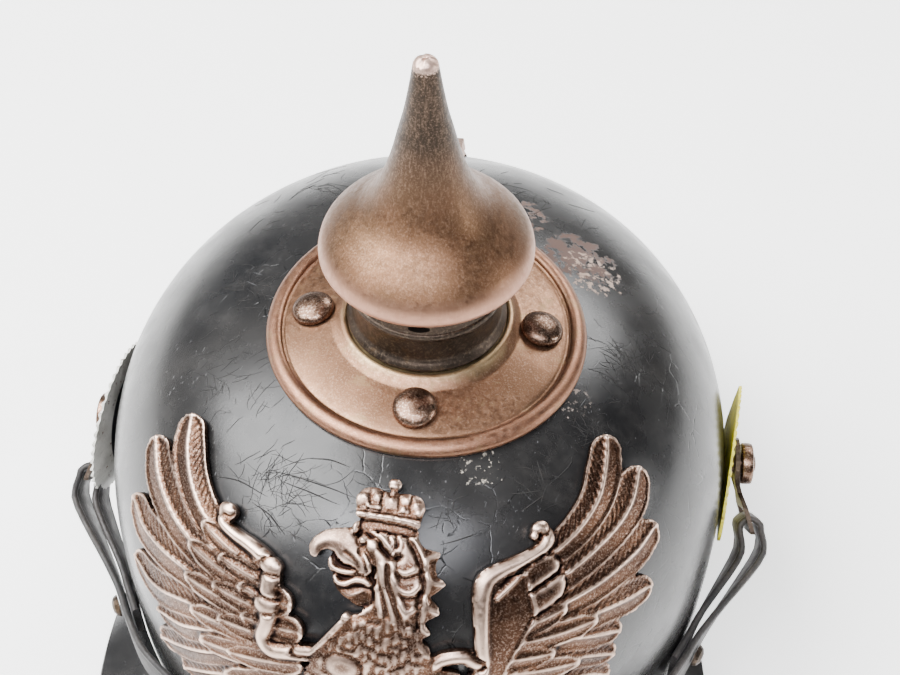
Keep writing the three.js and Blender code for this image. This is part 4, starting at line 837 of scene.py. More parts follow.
def near_line(path):
    """Distance, signed offset, place along and width round a path of [degrees, run, half width]."""
    line = spline(path, LINE_STEPS)
    area, degrees, runs = window(line, line[:, 2].max() + 2)
    scale = mm_per_degree(line[:, 0], line[:, 1])
    step = np.gradient(line[:, :2], axis=0) * np.stack([scale, np.ones_like(scale)], -1)
    tangent = step / np.linalg.norm(step, axis=1, keepdims=True)
    gaps = np.diff(line[:, :2], axis=0) * np.stack([scale[1:], np.ones(len(scale) - 1)], -1)
    along = np.concatenate([[0], np.cumsum(np.linalg.norm(gaps, axis=1))])
    dx = (degrees[..., None] - line[:, 0]) * scale
    dy = runs[..., None] - line[:, 1] + 0 * dx
    nearest = (dx ** 2 + dy ** 2).argmin(-1)
    pick = lambda values: np.take_along_axis(values, nearest[..., None], -1)[..., 0]
    dx, dy = pick(dx), pick(dy)
    tx, ty = tangent[nearest, 0], tangent[nearest, 1]
    forward = dx * tx + dy * ty
    offset = dy * tx - dx * ty
    past = ((nearest == 0) & (forward < 0)) | ((nearest == len(line) - 1) & (forward > 0))
    distance = np.where(past, np.hypot(dx, dy), np.abs(offset))
    return area, distance, offset, along[nearest] + forward, line[nearest, 2]


def soft_step(value):
    value = np.clip(value, 0, 1)
    return value * value * (3 - 2 * value)


def lay(area, edge, height):
    """Lays a form over what is there: it hides the forms below and adds to the plate's outline."""
    shown = edge < 0
    height_map[area] = np.where(shown, height, height_map[area])
    edge_map[area] = np.minimum(edge_map[area], edge)


def bar(path, level, crown, power=2.0):
    """A rounded bar along a path of [degrees, run, half width]."""
    area, distance, _, _, width = near_line(path)
    share = np.clip(distance / width, 0, 1)
    lay(area, distance - width, level + crown * (1 - share ** power))


def feather(path, level, barbs, pitch=2.3, shaft=0.6, lean=1.1):
    """A flight feather from its tip to its root: a raised shaft, slanted barbs and a thin raised rim."""
    area, distance, offset, along, width = near_line(path)
    depth = width - distance
    share = np.clip(np.abs(offset) / width, 0, 1)
    height = level + 0.45 * (1 - share ** 2) + shaft * np.exp(-(offset / 0.5) ** 2)
    height = height + 0.4 * np.exp(-((depth - 0.45) / 0.4) ** 2)
    phase = (along + lean * np.abs(offset)) / pitch
    comb = 1 - np.abs(2 * (phase - np.floor(phase)) - 1)
    clear = soft_step(depth / 1.2) * soft_step(np.abs(offset) / 0.8)
    height = height + np.where(offset > 0, *barbs) * clear * (comb ** 1.5 - 0.5)
    height = height - 0.28 * soft_step(np.abs(offset) / 1.5) * soft_step(depth / 1.6)
    height = np.where(depth < 0.35, level + (height - level) * soft_step(depth / 0.35 * 0.7 + 0.3), height)
    lay(area, -depth, height)


def line(path, width, rise):
    """A raised line, or an engraved one where rise is below zero, within the plate."""
    path = [(*point[:2], point[2] if len(point) > 2 else width) for point in path]
    area, distance, _, _, reach = near_line(path)
    height_map[area] += rise * np.exp(-(distance / reach) ** 2)


def from_outline(outline):
    """Distance to a closed outline over the grid, below zero inside it."""
    outline = np.asarray(outline, float)
    middle = outline.mean(0)
    scale = mm_per_degree(*middle)
    area, degrees, runs = window(outline, 2)
    x = (degrees - middle[0]) * scale + 0 * runs
    y = runs - middle[1] + 0 * degrees
    corners = (outline - middle) * [scale, 1]
    best = np.full(x.shape, FAR)
    inside = np.zeros(x.shape, bool)
    for (ax, ay), (bx, by) in zip(corners, np.roll(corners, -1, 0)):
        ex, ey = bx - ax, by - ay
        share = np.clip(((x - ax) * ex + (y - ay) * ey) / max(ex * ex + ey * ey, 1e-9), 0, 1)
        best = np.minimum(best, np.hypot(x - ax - share * ex, y - ay - share * ey))
        crosses = (ay > y) != (by > y)
        with np.errstate(divide="ignore", invalid="ignore"):
            inside ^= crosses & (x < ax + (y - ay) * ex / np.where(ey == 0, 1e-9, ey))
    return area, np.where(inside, -best, best), x, y


def patch(outline, level, crown, soft=2.0, round_steps=4):
    """A swelling form inside a closed outline."""
    closed = spline([*outline, outline[0]], round_steps)[:-1] if round_steps else outline
    area, edge, x, y = from_outline(closed)
    lay(area, edge, level + crown * (1 - np.exp(np.minimum(edge, 0) / soft)))
    return area, edge, x, y


def ball(degrees, run, radius, level, crown, stretch=1.0):
    scale = mm_per_degree(degrees, run)
    area, turned_by, runs = window([(degrees, run)], radius * 1.4 + 2)
    distance = np.hypot((turned_by - degrees) * scale / stretch, runs - run)
    lay(area, distance - radius, level + crown * np.sqrt(np.clip(1 - (distance / radius) ** 2, 0, 1)))


def scales(outline, size, rise):
    """Small tufts of plumage inside an outline: uneven rows of overlapping pointed scales."""
    area, edge, x, y = from_outline(outline)
    u = x / size + 0.25 * np.sin(y * 0.5 + 0.4 * x) + 0.1 * np.sin(2.3 * y + 1.7 * x)
    v = y / (size * 2.1) + 0.3 * np.sin(x * 0.7 + 0.3 * y) + 0.12 * np.sin(2.1 * x)
    row = np.floor(v)
    u = (u + 0.5 * (row % 2) + 0.31 * np.sin(row * 5.1)) % 1 - 0.5
    v = v - row
    tuft = np.clip(1.1 - np.abs(u) * 2 * (0.55 + 0.9 * (1 - v)), 0, 1) * soft_step(v * 3)
    barbs = 0.5 + 0.5 * np.cos(u * 2 * np.pi * 3)
    inside = soft_step(-edge / 1.2)
    height_map[area] += inside * rise * (tuft + 0.2 * barbs - 0.45)


LEFT_FEATHERS = [
    [(-24, 35.5, 2.4), (-20, 46, 3.4), (-17, 55, 3.2)],
    [(-29.5, 38, 2.6), (-25, 47, 3.6), (-20, 56, 3.4)],
    [(-33.6, 44.4, 4.2), (-30.2, 49.4, 5.0), (-24, 58, 4.2)],
    [(-39.2, 47.4, 4.4), (-35.4, 52.0, 5.2), (-31.0, 57.4, 4.8), (-26, 64, 4.2)],
    [(-39.6, 58.0, 4.6), (-36.0, 60.6, 5.2), (-32.2, 65.0, 4.8), (-27.5, 70.4, 4.4)],
    [(-47.6, 63.4, 5.2), (-45.0, 63.4, 6.0), (-41.4, 65.4, 6.0), (-37.6, 68.8, 5.6), (-31, 74, 5.0)],
    [(-53.2, 76.4, 5.4), (-50.6, 75.6, 6.3), (-45.8, 76.6, 6.3), (-40.4, 78.4, 6.0), (-31.5, 81.4, 5.2)],
    [(-58.2, 92.8, 5.4), (-54.4, 90.6, 6.1), (-47.5, 88.3, 6.1), (-40.6, 87.4, 5.8), (-31, 87.6, 5.2)],
    [(-57.0, 106.4, 5.0), (-53.8, 103.6, 5.8), (-47.2, 99.2, 5.6), (-40.4, 96, 5.2), (-33, 94.4, 4.8)],
]
RIGHT_FEATHERS = [
    [(26, 37, 2.4), (22, 46, 3.4), (19, 55, 3.2)],
    [(32, 43, 2.6), (28, 50, 3.6), (22, 58, 3.4)],
    [(36.2, 54.2, 3.6), (33.6, 57.6, 4.2), (27, 62.6, 3.6)],
    [(37.4, 61.2, 3.8), (35.4, 63.4, 4.3), (31.3, 67.2, 4.0), (26, 71.5, 3.8)],
    [(39.0, 67.6, 4.0), (36.2, 69.9, 4.6), (32.8, 72.6, 4.2), (27.2, 76, 4.0)],
    [(46.4, 72.6, 4.8), (44.4, 73.4, 5.2), (41.3, 74.8, 5.0), (37.2, 76.5, 5.0), (30, 79, 4.6)],
    [(52.0, 84.6, 5.2), (49.2, 84.0, 5.7), (45, 84, 5.6), (39.6, 84, 5.4), (31, 84.4, 4.8)],
    [(57.0, 98.2, 5.2), (54, 96.0, 5.8), (49.4, 94.2, 5.6), (42.6, 93, 5.4), (32, 91.2, 4.8)],
    [(57.6, 111.2, 4.7), (53.6, 107.8, 5.4), (48.2, 103.6, 5.3), (41, 100.4, 4.8), (33.4, 98.4, 4.2)],
]
# The sheet below the feathers, so that no shell shows between their roots
patch([(-49, 68), (-41, 56), (-33, 48), (-25, 39), (-14, 46), (-10, 70), (-19, 76), (-21, 90),
       (-33, 95), (-50, 93), (-51, 80)], SHEET - 0.2, 0.1, 1.0, 0)
patch([(44, 76), (38, 64), (34, 56), (27, 42), (15, 48), (13, 66), (18, 90), (32, 97), (47, 97),
       (47, 86)], SHEET - 0.2, 0.1, 1.0, 0)
for number, path in enumerate(LEFT_FEATHERS):
    feather(path, SHEET + 0.05 * number, barbs=(0.5, 0.16))
for number, path in enumerate(RIGHT_FEATHERS):
    feather(path, SHEET + 0.05 * number, barbs=(0.16, 0.5), lean=1.4)

# Coverts: short scales over the roots of the flight feathers, outermost row first
LEFT_COVERTS = [
    [(-25, 56), (-16, 64)], [(-30.5, 62.5), (-20, 69)], [(-33.4, 70), (-23, 75)],
    [(-36.4, 78), (-26, 81)], [(-38.4, 86.6), (-28, 87.4)], [(-38, 94), (-28, 93)],
    [(-24.6, 65.6), (-15, 71)], [(-27.6, 74), (-18, 77.4)],
    [(-30.4, 82), (-20, 84)], [(-31.4, 90), (-22, 90.4)], [(-23.4, 79), (-16, 81)],
    [(-25.6, 86.4), (-19, 87.4)],
]
RIGHT_COVERTS = [
    [(27, 57), (17, 64)], [(31.6, 65), (21, 70)], [(36.2, 75), (25, 78)], [(27.6, 72), (19, 75)],
    [(31.4, 83), (22, 82.4)],
]
for (tip, tip_run), (root, root_run) in LEFT_COVERTS + RIGHT_COVERTS:
    body = (tip + (root - tip) * 0.22, tip_run + (root_run - tip_run) * 0.22, 3.5)
    feather([(tip, tip_run, 2.2), body, (root, root_run, 4.0)], SHEET + 0.7, barbs=(0.1, 0.1),
            pitch=2.2, shaft=0.12)

# Two pointed coverts and the smooth shoulder of the right wing
LOZENGES = [
    [(26.6, 91.4), (33.6, 92.4), (34.3, 89.6), (32.6, 86.4), (26.4, 84.6)],
    [(26.9, 97.4), (33, 99.2), (34.6, 96), (33.6, 93.4), (26.8, 91.6)],
]
for outline in LOZENGES:
    patch(outline, SHEET + 1.1, 0.5, 1.2, 0)
    line([*outline, outline[0]], 0.3, -0.5)
SHOULDER = [(27.3, 97), (26.8, 85.3), (24.6, 80.6), (21.6, 74.6), (18.5, 66), (15, 62), (14.6, 70), (16, 83),
            (18, 92.4), (21, 97)]
patch(SHOULDER, SHEET + 0.8, 0.35, 1.5, 0)
line([(27.2, 97), (26.9, 85.3), (24.4, 80.2), (21.4, 74.4), (18.3, 66)], 0.4, 0.6)

# Body
patch([(-11, 76), (-12.6, 66), (-12.4, 54), (-9.4, 42), (-4, 35), (4, 35), (9.4, 42), (12.4, 54), (13, 66),
       (11, 75)], SHEET + 1.0, 1.1, 4.0)
scales([(-10.6, 75), (-11.6, 60), (-8, 42), (0, 37), (8, 42), (11.6, 60), (10.4, 74)], 2.2, 0.42)

# Legs, tail, shield and scroll
SCROLL = [(-26, 32), (-20, 35.2), (-10, 32.2), (0, 31.2), (10, 32.2), (20, 35.2), (26, 32), (24.4, 27),
          (18, 28.6), (9, 25.2), (0, 24.4), (-9, 25.2), (-18, 28.6), (-24.4, 27)]
patch(SCROLL, SHEET + 0.2, 0.35, 0.8, 3)
line([*SCROLL, SCROLL[0]], 0.4, 0.35)
for limb, level, crown in [
    ([(9, 45, 2.2), (15, 40.5, 2.2), (21, 39.6, 2.0), (25, 43, 1.9), (24.4, 48.4, 1.8),
      (20.6, 49.4, 2.4)], 1.3, 1.2),
    ([(-3, 47, 6.0), (-8.4, 40, 5.0), (-7.4, 34, 2.6), (-11, 30, 2.4)], 1.5, 1.6),
    ([(5, 47, 6.4), (11, 40, 5.0), (9.6, 34, 2.6), (5.4, 30, 2.4)], 1.5, 1.6),
    ([(-4, 71, 4.6), (-9, 64, 4.2), (-15, 56, 3.0), (-14.4, 50.6, 2.2)], 1.8, 1.7),
    ([(6, 69, 4.4), (13, 61, 3.8), (17, 55, 2.8), (13.4, 51, 2.2)], 1.8, 1.4),
]:
    bar(limb, level, crown)
for toe in [(-9.4, 28.6), (-11.4, 28.0), (-13.4, 28.8), (3.6, 28.6), (5.8, 28.0), (8.0, 28.8)]:
    bar([(toe[0] + 1.4 * np.sign(-toe[0]), 30.6, 1.1), (toe[0], toe[1], 0.8)], 1.7, 1.0)
SHIELD = [(-17, 54.6), (-6, 54.6), (-5.8, 45), (-7.6, 39.4), (-11.4, 35.4), (-15.2, 39.4), (-17.2, 45)]
patch(SHIELD, SHEET + 1.5, 0.7, 1.5, 0)
line([*SHIELD, SHIELD[0]], 0.45, 0.45)
for paw in [(-16.4, 52.2), (-14.6, 51.6), (-12.8, 52.0)]:
    ball(*paw, 1.2, 2.5, 0.9)

# Wing arms with their knobs, and the cuffs that cross the left one
LEFT_ARM = [(-36.2, 101.4, 2.5), (-35.2, 98.6, 1.7), (-32, 98.0, 1.7), (-28, 98.0, 1.9), (-24.2, 96.9, 2.2),
            (-21.9, 94, 2.6), (-21.3, 89.3, 2.4), (-20.4, 85.4, 2.8), (-19.8, 80.9, 2.3), (-20, 76, 2.2),
            (-18, 73.4, 2.4), (-14, 75.2, 2.2), (-11, 76.2, 1.9)]
RIGHT_ARM = [(33.9, 105.2, 2.0), (33.9, 102.6, 2.2), (31.6, 101.0, 1.9), (27.6, 100.3, 2.0),
             (23.2, 99.8, 2.2), (20.0, 98.2, 2.6), (18.4, 94.4, 2.4), (17.7, 89.5, 2.1),
             (17.2, 83.4, 1.9), (16.8, 76.1, 1.9),
             (16.2, 70.7, 2.0), (15, 64, 2.2)]
bar(LEFT_ARM, SHEET + 1.0, 1.5, 2.4)
bar(RIGHT_ARM, SHEET + 1.0, 1.5, 2.4)
line([(-24.2, 93.4), (-20.6, 93.8)], 0.45, -0.9)
line([(-23.4, 87.6), (-18.8, 87.8)], 0.45, -0.9)
ball(-20.9, 85.2, 2.6, 2.0, 1.3, 1.2)
ball(-22.4, 95.8, 2.5, 1.9, 1.3, 1.2)
line([(32.6, 98.7), (27.6, 97.3), (20.8, 92.6)], 0.5, 0.6)
line([(31.4, 99.6), (27.4, 98.6), (22.4, 95.6)], 0.5, -0.5)
ball(-35.9, 101.5, 2.5, 2.0, 1.1)
line([(-34.2, 102.6), (-34.6, 101.2), (-35.8, 100.8)], 0.4, -0.8)
ball(33.6, 106.0, 2.2, 2.1, 1.1)
ball(32.0, 105.0, 1.2, 1.9, 0.9)
line([(31.8, 103.4), (32.8, 104.0), (33.1, 105.2)], 0.4, -0.9)

# Join between the left wing and the chest, and the small arch on the right
bar([(-13.6, 76.2, 1.7), (-11.2, 77.2, 1.5), (-9.6, 76.8, 1.5)], 2.0, 1.0)
bar([(8.2, 76.6, 2.0), (10.7, 78.4, 1.9), (13.9, 78.2, 1.9), (16, 75.6, 2.0)], 1.7, 1.2)

# Neck, chest and head
NECK = [(-7.8, 113.6), (-5, 105), (-3.1, 100.6), (-1.5, 97.3), (-2.3, 93.4), (-4.1, 90.7), (-6.0, 89.5),
        (-7.8, 85.3), (-11, 77.3), (-11.4, 74), (-9.4, 69), (6, 69), (8.4, 75), (8.6, 79), (8.1, 82.4),
        (6.9, 84.4), (8.6, 86.3), (7.6, 89.3), (10.4, 91.5), (9.6, 94.4), (8.9, 96.2), (12.0, 99.1),
        (10.5, 101.2), (10.4, 104.9), (11.6, 107.6), (8.4, 109.1), (7, 111.9), (6.6, 114.6), (0, 115.8)]
patch(NECK, SHEET + 1.0, 1.3, 2.6, 2)
for ridge_line in [[(11.4, 107.4), (9.0, 106.4), (8.0, 104)], [(11.7, 99.2), (9.6, 100.2), (8.2, 102)],
                   [(10.1, 91.6), (8.6, 93.4), (7.8, 96)], [(8.4, 86.4), (7.2, 88.2), (6.6, 91)],
                   [(8.3, 79.4), (7.0, 82.0), (6.2, 85)]]:
    line(ridge_line, 0.55, 0.5)
patch([(-11.4, 105.6), (-11.6, 102.4), (-10.2, 99.8), (-9.6, 97.2), (-7.2, 94.4), (-3, 93), (-1.6, 99),
       (-3, 106)], SHEET - 0.1, 0.2, 1.0, 2)
BEAK = [(-7.2, 113.8), (-9.4, 113.0), (-12.0, 112.0), (-14.4, 110.4), (-16.0, 107.6), (-16.3, 105.2),
        (-15.4, 103.2), (-14.3, 103.2), (-13.8, 105.0), (-12.4, 106.0), (-10.8, 105.4), (-9.0, 103.6),
        (-6.4, 102.8), (-3.6, 101.2), (-2.4, 104.4), (-4.6, 109)]
patch(BEAK, SHEET + 1.2, 1.2, 1.6, 3)
patch([(-11.4, 104.6), (-10.6, 102.2), (-8.4, 101.6), (-5.7, 102.2), (-3.0, 100.8), (-2.6, 99.6),
       (-5.4, 100.4), (-8.4, 100.2), (-10.6, 100.8), (-11.8, 102.6)], SHEET + 0.5, 0.9, 0.8, 2)
line([(-11.2, 104.0), (-10.2, 102.0), (-8.2, 101.5), (-5.6, 102.0), (-3.2, 100.8)], 0.45, 0.4)
patch([(-10.2, 100.0), (-9.6, 97.8), (-7.6, 97.0), (-5.8, 98.6), (-4.2, 98.8), (-2.6, 98.0), (-2.0, 99.8),
       (-4.4, 100.6), (-6.2, 99.9), (-7.8, 98.8), (-9.0, 99.2)], SHEET + 0.6, 0.9, 0.6, 2)
line([(-9.7, 99.6), (-9.0, 98.2), (-7.4, 98.1), (-5.9, 99.6), (-4.4, 99.9), (-2.6, 99.0)], 0.4, 0.5)
patch([(-9.2, 96.6), (-6.8, 94.4), (-4.4, 92.4), (-2.0, 93.6), (-1.6, 97.2), (-3.6, 97.8), (-6.6, 97.2)],
      SHEET, 0.35, 1.0, 2)
line([(-7.8, 95.4), (-6.2, 95.1), (-3.6, 97.3)], 0.35, 0.4)
scales([(-8, 87), (-10.6, 77), (-9, 70), (6.4, 70), (7.8, 79), (6.4, 88), (5, 92), (-4, 90)], 1.9, 0.42)
for hair, rise in [
    ([(-4.5, 106.5), (-2.4, 102.4), (-1.2, 97.4), (0.0, 91.6)], 0.75),
    ([(-3.0, 106.9), (-1.5, 102.6), (-0.2, 97.6), (1.2, 91.6)], -0.5),
    ([(-0.4, 104.9), (-0.1, 99.4), (1.2, 94.7), (2.3, 90.6)], 0.75),
    ([(0.7, 104.6), (0.9, 99.6), (2.1, 95.2), (3.2, 91)], -0.5),
    ([(1.5, 104.6), (1.8, 100.8), (3.0, 96.2), (4.4, 91.4)], 0.7),
    ([(-2.6, 97.0), (-2.2, 93.6), (-3.6, 91.2)], 0.5),
    ([(1.6, 107.3), (2.2, 103.9), (4.1, 102.8), (6.3, 103.9)], 0.8),
    ([(1.9, 106.0), (2.8, 102.4), (4.4, 101.4), (6.6, 102.2)], -0.6),
    ([(2.0, 101.4), (3.1, 98.4), (5.2, 97.7), (7.0, 99.4)], 0.8),
    ([(2.2, 99.8), (3.4, 96.8), (5.4, 96.1), (7.2, 97.4)], -0.6),
    ([(3.2, 94.4), (4.4, 92.6), (6.4, 93.4)], 0.6),
    ([(3.6, 113.7), (6.1, 108.9), (7.3, 104.4), (7.6, 99.6), (6.6, 94.1), (6.4, 88)], -0.9),
    ([(4.9, 113.9), (7.2, 109.2), (8.4, 104.4), (8.6, 99.6), (7.6, 94.1), (7.2, 88)], 0.5),
]:
    line(hair, 0.65, rise * 0.7)
line([(-6.9, 111.8), (-5.2, 112.9), (-2.6, 110.9), (-0.4, 108.4), (1.4, 106.7), (3.0, 106.9)], 0.6, -1.3)
bar([(-7.2, 112.5, 0.5), (-7.6, 113.8, 0.6), (-6.2, 114.9, 0.85), (-3.8, 114.3, 1.1), (-1.4, 112.3, 1.2),
     (0.6, 109.8, 1.1), (2.0, 108.2, 0.8)], SHEET + 1.5, 0.9)
EAR = [(0.6, 115.8), (2.4, 114.0), (3.8, 111.0), (3.5, 108.3), (2.0, 107.8), (0.7, 110.8), (0.3, 113.4)]
patch(EAR, SHEET + 1.6, 1.0, 0.8, 3)
line([(1.4, 113.6), (2.3, 111.4), (2.4, 109.6)], 0.5, -1.2)
ball(-5.3, 110.6, 0.9, 2.9, 0.6, 0.9)
line([(-6.4, 111.3), (-6.2, 109.9), (-5.2, 109.3), (-4.2, 110.1)], 0.3, -0.6)
ball(-3.0, 109.4, 1.9, 2.6, 0.6, 0.8)
line([(-5.6, 107.8), (-4.4, 105.4), (-3.4, 102.6)], 0.4, -0.6)
line([(-8.4, 106.6), (-6.6, 105.4), (-5.0, 103.4)], 0.35, -0.3)

# Beaded edge of the breast and the bright shoulder knob
for share in np.linspace(0, 1, 15):
    spot = spline([(-6.4, 88.6), (-8.0, 85.0), (-10.8, 78.4)], 14)[int(round(share * 28))]
    ball(spot[0], spot[1], 0.75, 2.3, 0.6)
ball(-5.8, 75.8, 4.2, 2.2, 1.6, 1.15)
ball(-6.2, 89.3, 1.1, 2.0, 0.9)

# Crown
patch([(-7, 117), (-6.6, 113), (0, 113), (6.6, 112), (6.8, 116), (0, 118)], SHEET + 0.6, 0.4, 1.0, 0)
CROWN = [(-9.1, 121.8), (-7.6, 124.3), (-4.3, 125.2), (-1.4, 124.4), (2.4, 124.2), (5.1, 123.9), (8.0, 122.7),
         (8.9, 120.3), (8.2, 118.1), (6.8, 114.5), (3.9, 115.2), (-1.3, 116.0), (-7.3, 116.2), (-8.4, 118.9)]
patch(CROWN, SHEET + 1.1, 0.8, 1.0, 3)
for degrees, run, radius, stretch in [(-6.6, 121.4, 2.0, 1.1), (-3.6, 122.0, 1.9, 1.0),
                                      (0.3, 121.2, 2.4, 1.1), (4.0, 121.6, 1.8, 1.0),
                                      (6.7, 120.0, 1.8, 1.0)]:
    ball(degrees, run, radius, 2.2, 0.6, stretch)
for degrees, run in [(-6.9, 122.2), (-5.4, 120.0), (-3.4, 122.6), (-2.6, 119.8), (0.3, 122.0), (3.4, 119.6),
                     (4.4, 122.2), (6.6, 120.8), (7.2, 118.6)]:
    ball(degrees, run, 0.7, 2.6, 0.5)
for seam in [[(-5.5, 124.4), (-5.0, 121), (-5.8, 118)], [(-2.2, 124), (-2.0, 121), (-2.4, 118)],
             [(2.4, 124), (2.4, 121), (2.2, 118)], [(5.6, 123.4), (5.6, 120.6), (4.8, 117.4)]]:
    line(seam, 0.25, -0.2)
line([(-7.8, 117.4), (-1.3, 117.4), (4.2, 116.6), (7.2, 115.6)], 0.6, 0.8)
line([(-7.9, 118.6), (-1.3, 118.5), (4.2, 117.8), (7.6, 116.9)], 0.25, -0.6)
for share in np.linspace(0, 1, 9):
    spot = spline([(-7.4, 117.0), (-1.3, 116.9), (4.0, 116.1), (6.9, 115.2)], 8)[int(round(share * 24))]
    ball(spot[0], spot[1], 0.55, 2.4, 0.5)
bar([(0.6, 123.4, 0.8), (0.7, 125.4, 0.8)], 2.0, 0.6)
ball(0.75, 126.5, 1.6, 1.9, 1.1, 1.0)
line([(-0.9, 126.4), (2.4, 126.4)], 0.25, -0.5)


def box_blur(field, radius):
    total = np.cumsum(np.cumsum(np.pad(field, ((radius + 1, radius), (radius + 1, radius)), "edge"), 0), 1)
    size = 2 * radius + 1
    whole = total[size:, size:] - total[:-size, size:] - total[size:, :-size] + total[:-size, :-size]
    return whole / size ** 2


def make_griffin():
    """The relief as one closed sheet: cells inside the outline, their rim moved on to it, a flat back."""
    rows, columns = height_map.shape
    degrees = np.tile(GRID_DEGREES, (rows, 1))
    runs = np.tile(GRID_RUNS[:, None], (1, columns))
    inside = edge_map < 0
    corners = lambda field: (field[:-1, :-1], field[:-1, 1:], field[1:, 1:], field[1:, :-1])
    kept = sum(part.astype(int) for part in corners(inside)) >= 1
    # Outside corners of kept cells move down the slope of the distance, on to the outline.
    scale = mm_per_degree(degrees, runs)
    smooth_edge = box_blur(edge_map, 1)
    slope_run, slope_turn = np.gradient(smooth_edge, GRID_RUNS, GRID_DEGREES)
    slope_turn = slope_turn / scale
    steep = np.maximum(slope_run ** 2 + slope_turn ** 2, 0.25)
    shift = np.where(inside, 0, np.clip(edge_map, 0, 0.8)) / steep
    degrees = degrees - np.clip(shift * slope_turn, -0.6, 0.6) / scale
    runs = runs - np.clip(shift * slope_run, -0.6, 0.6)
    # Rim corners take the height of their inside neighbours.
    weight = box_blur(inside.astype(float), 1)
    near = box_blur(np.where(inside, height_map, 0), 1) / np.maximum(weight, 1e-6)
    height = np.where(inside, height_map, np.where(weight > 0, near, SHEET))
    height = 0.6 * height + 0.4 * box_blur(height, 1)
    height = np.clip(height, 0.5, 3.6)
    index = np.arange(rows * columns).reshape(rows, columns)
    quads = np.stack([part[kept] for part in corners(index)], -1)
    used, quads = np.unique(quads, return_inverse=True)
    quads = quads.reshape(-1, 4)
    lift = height.ravel()[used]
    front = over_shell(degrees.ravel()[used], runs.ravel()[used], STANDOFF + lift)
    back = over_shell(degrees.ravel()[used], runs.ravel()[used], np.full(len(used), STANDOFF))
    count = len(used)
    sides = np.concatenate([np.stack([quads[:, k], quads[:, (k + 1) % 4]], -1) for k in range(4)])
    keys = np.sort(sides, 1)
    _, first, repeats = np.unique(keys, axis=0, return_index=True, return_counts=True)
    rim = sides[first[repeats == 1]]
    walls = np.stack([rim[:, 1], rim[:, 0], rim[:, 0] + count, rim[:, 1] + count], -1)
    faces = np.concatenate([quads, walls, quads[:, ::-1] + count])
    points = np.concatenate([front, back])
    made = piece("griffin_relief", points, faces, griffin_metal, ["helmet_plate"], sharp=0)
    sharp = np.zeros(len(made.data.edges), bool)
    rim_keys = {tuple(sorted(pair)) for pair in rim.tolist()}
    for edge in made.data.edges:
        a, b = sorted(edge.vertices)
        sharp[edge.index] = (a, b) in rim_keys or (a - count, b - count) in rim_keys
    mark = made.data.attributes.new("sharp_edge", "BOOLEAN", "EDGE")
    mark.data.foreach_set("value", sharp)
    # How far each point stands above or below its surroundings, from 0 to 1 with 0.5 level. Low values paint
    # shade into the hollows, and high values light the raised lines as rubs and painted highlight
    proud = height - box_blur(height, 3) + 0.06 * (height - 1.9)
    relief_shade_and_rubs = np.clip(0.5 + proud / 1.6, 0, 1).ravel()[used]
    attribute = made.data.attributes.new("relief_shade_and_rubs", "FLOAT", "POINT")
    # The back takes a low value, so painted shade darkens it and the walls that lead to it.
    attribute.data.foreach_set("value", np.concatenate([relief_shade_and_rubs, np.full(count, 0.3)]).astype(np.float32))
    return made


make_griffin()


# Cracks in the lacquer: hair-thin dark grooves, placed where the photograph shows them, in [degrees, run]

CRACKS = [
    [(-27.8, 127.1), (-21.3, 129.7), (-14.4, 129.9)],
    [(-34.5, 118.2), (-26.6, 121.0), (-17.6, 122.2), (-10.7, 121.8)],
    [(-31.0, 117.3), (-22.2, 118.8), (-13.4, 118.6)],
    [(-45.2, 104.6), (-39.4, 109.4), (-31.2, 111.3)],
    [(-33.8, 107.2), (-28.4, 107.3), (-23.1, 104.6)],
    [(40.4, 115.1), (42.0, 120.2), (43.0, 123.1)], [(40.4, 115.1), (49.4, 115.8), (51.7, 117.5)],
    [(40.1, 114.6), (32.1, 118.3)], [(39.5, 113.6), (31.9, 112.6)],
    [(20.9, 122.4), (17.1, 121.8), (15.8, 118.6), (14.0, 118.6)], [(11.8, 109.8), (21.3, 111.2)],
]
# Clusters are [degrees, run], count, spread, length and main heading, all but the count in mm or degrees
CRACK_CLUSTERS = [
    ((-30, 118), 40, 10, 11, 10), ((-34, 112), 36, 9, 9, 100), ((-24, 108), 26, 8, 8, 150),
    ((-55, 127), 34, 15, 8, 120), ((-70, 116), 26, 14, 8, 60), ((60, 118), 26, 9, 8, 80),
    ((52, 126), 18, 8, 6, 20), ((84, 115.4), 40, 9, 10, 40), ((90, 106), 24, 11, 7, 130),
    ((-100, 122), 20, 18, 9, 30), ((42, 116), 16, 6, 7, 70), ((150, 110), 24, 20, 10, 20),
    ((-140, 105), 24, 20, 10, 110), ((14, 118), 12, 7, 6, 0), ((-8, 128), 8, 6, 7, 170),
]


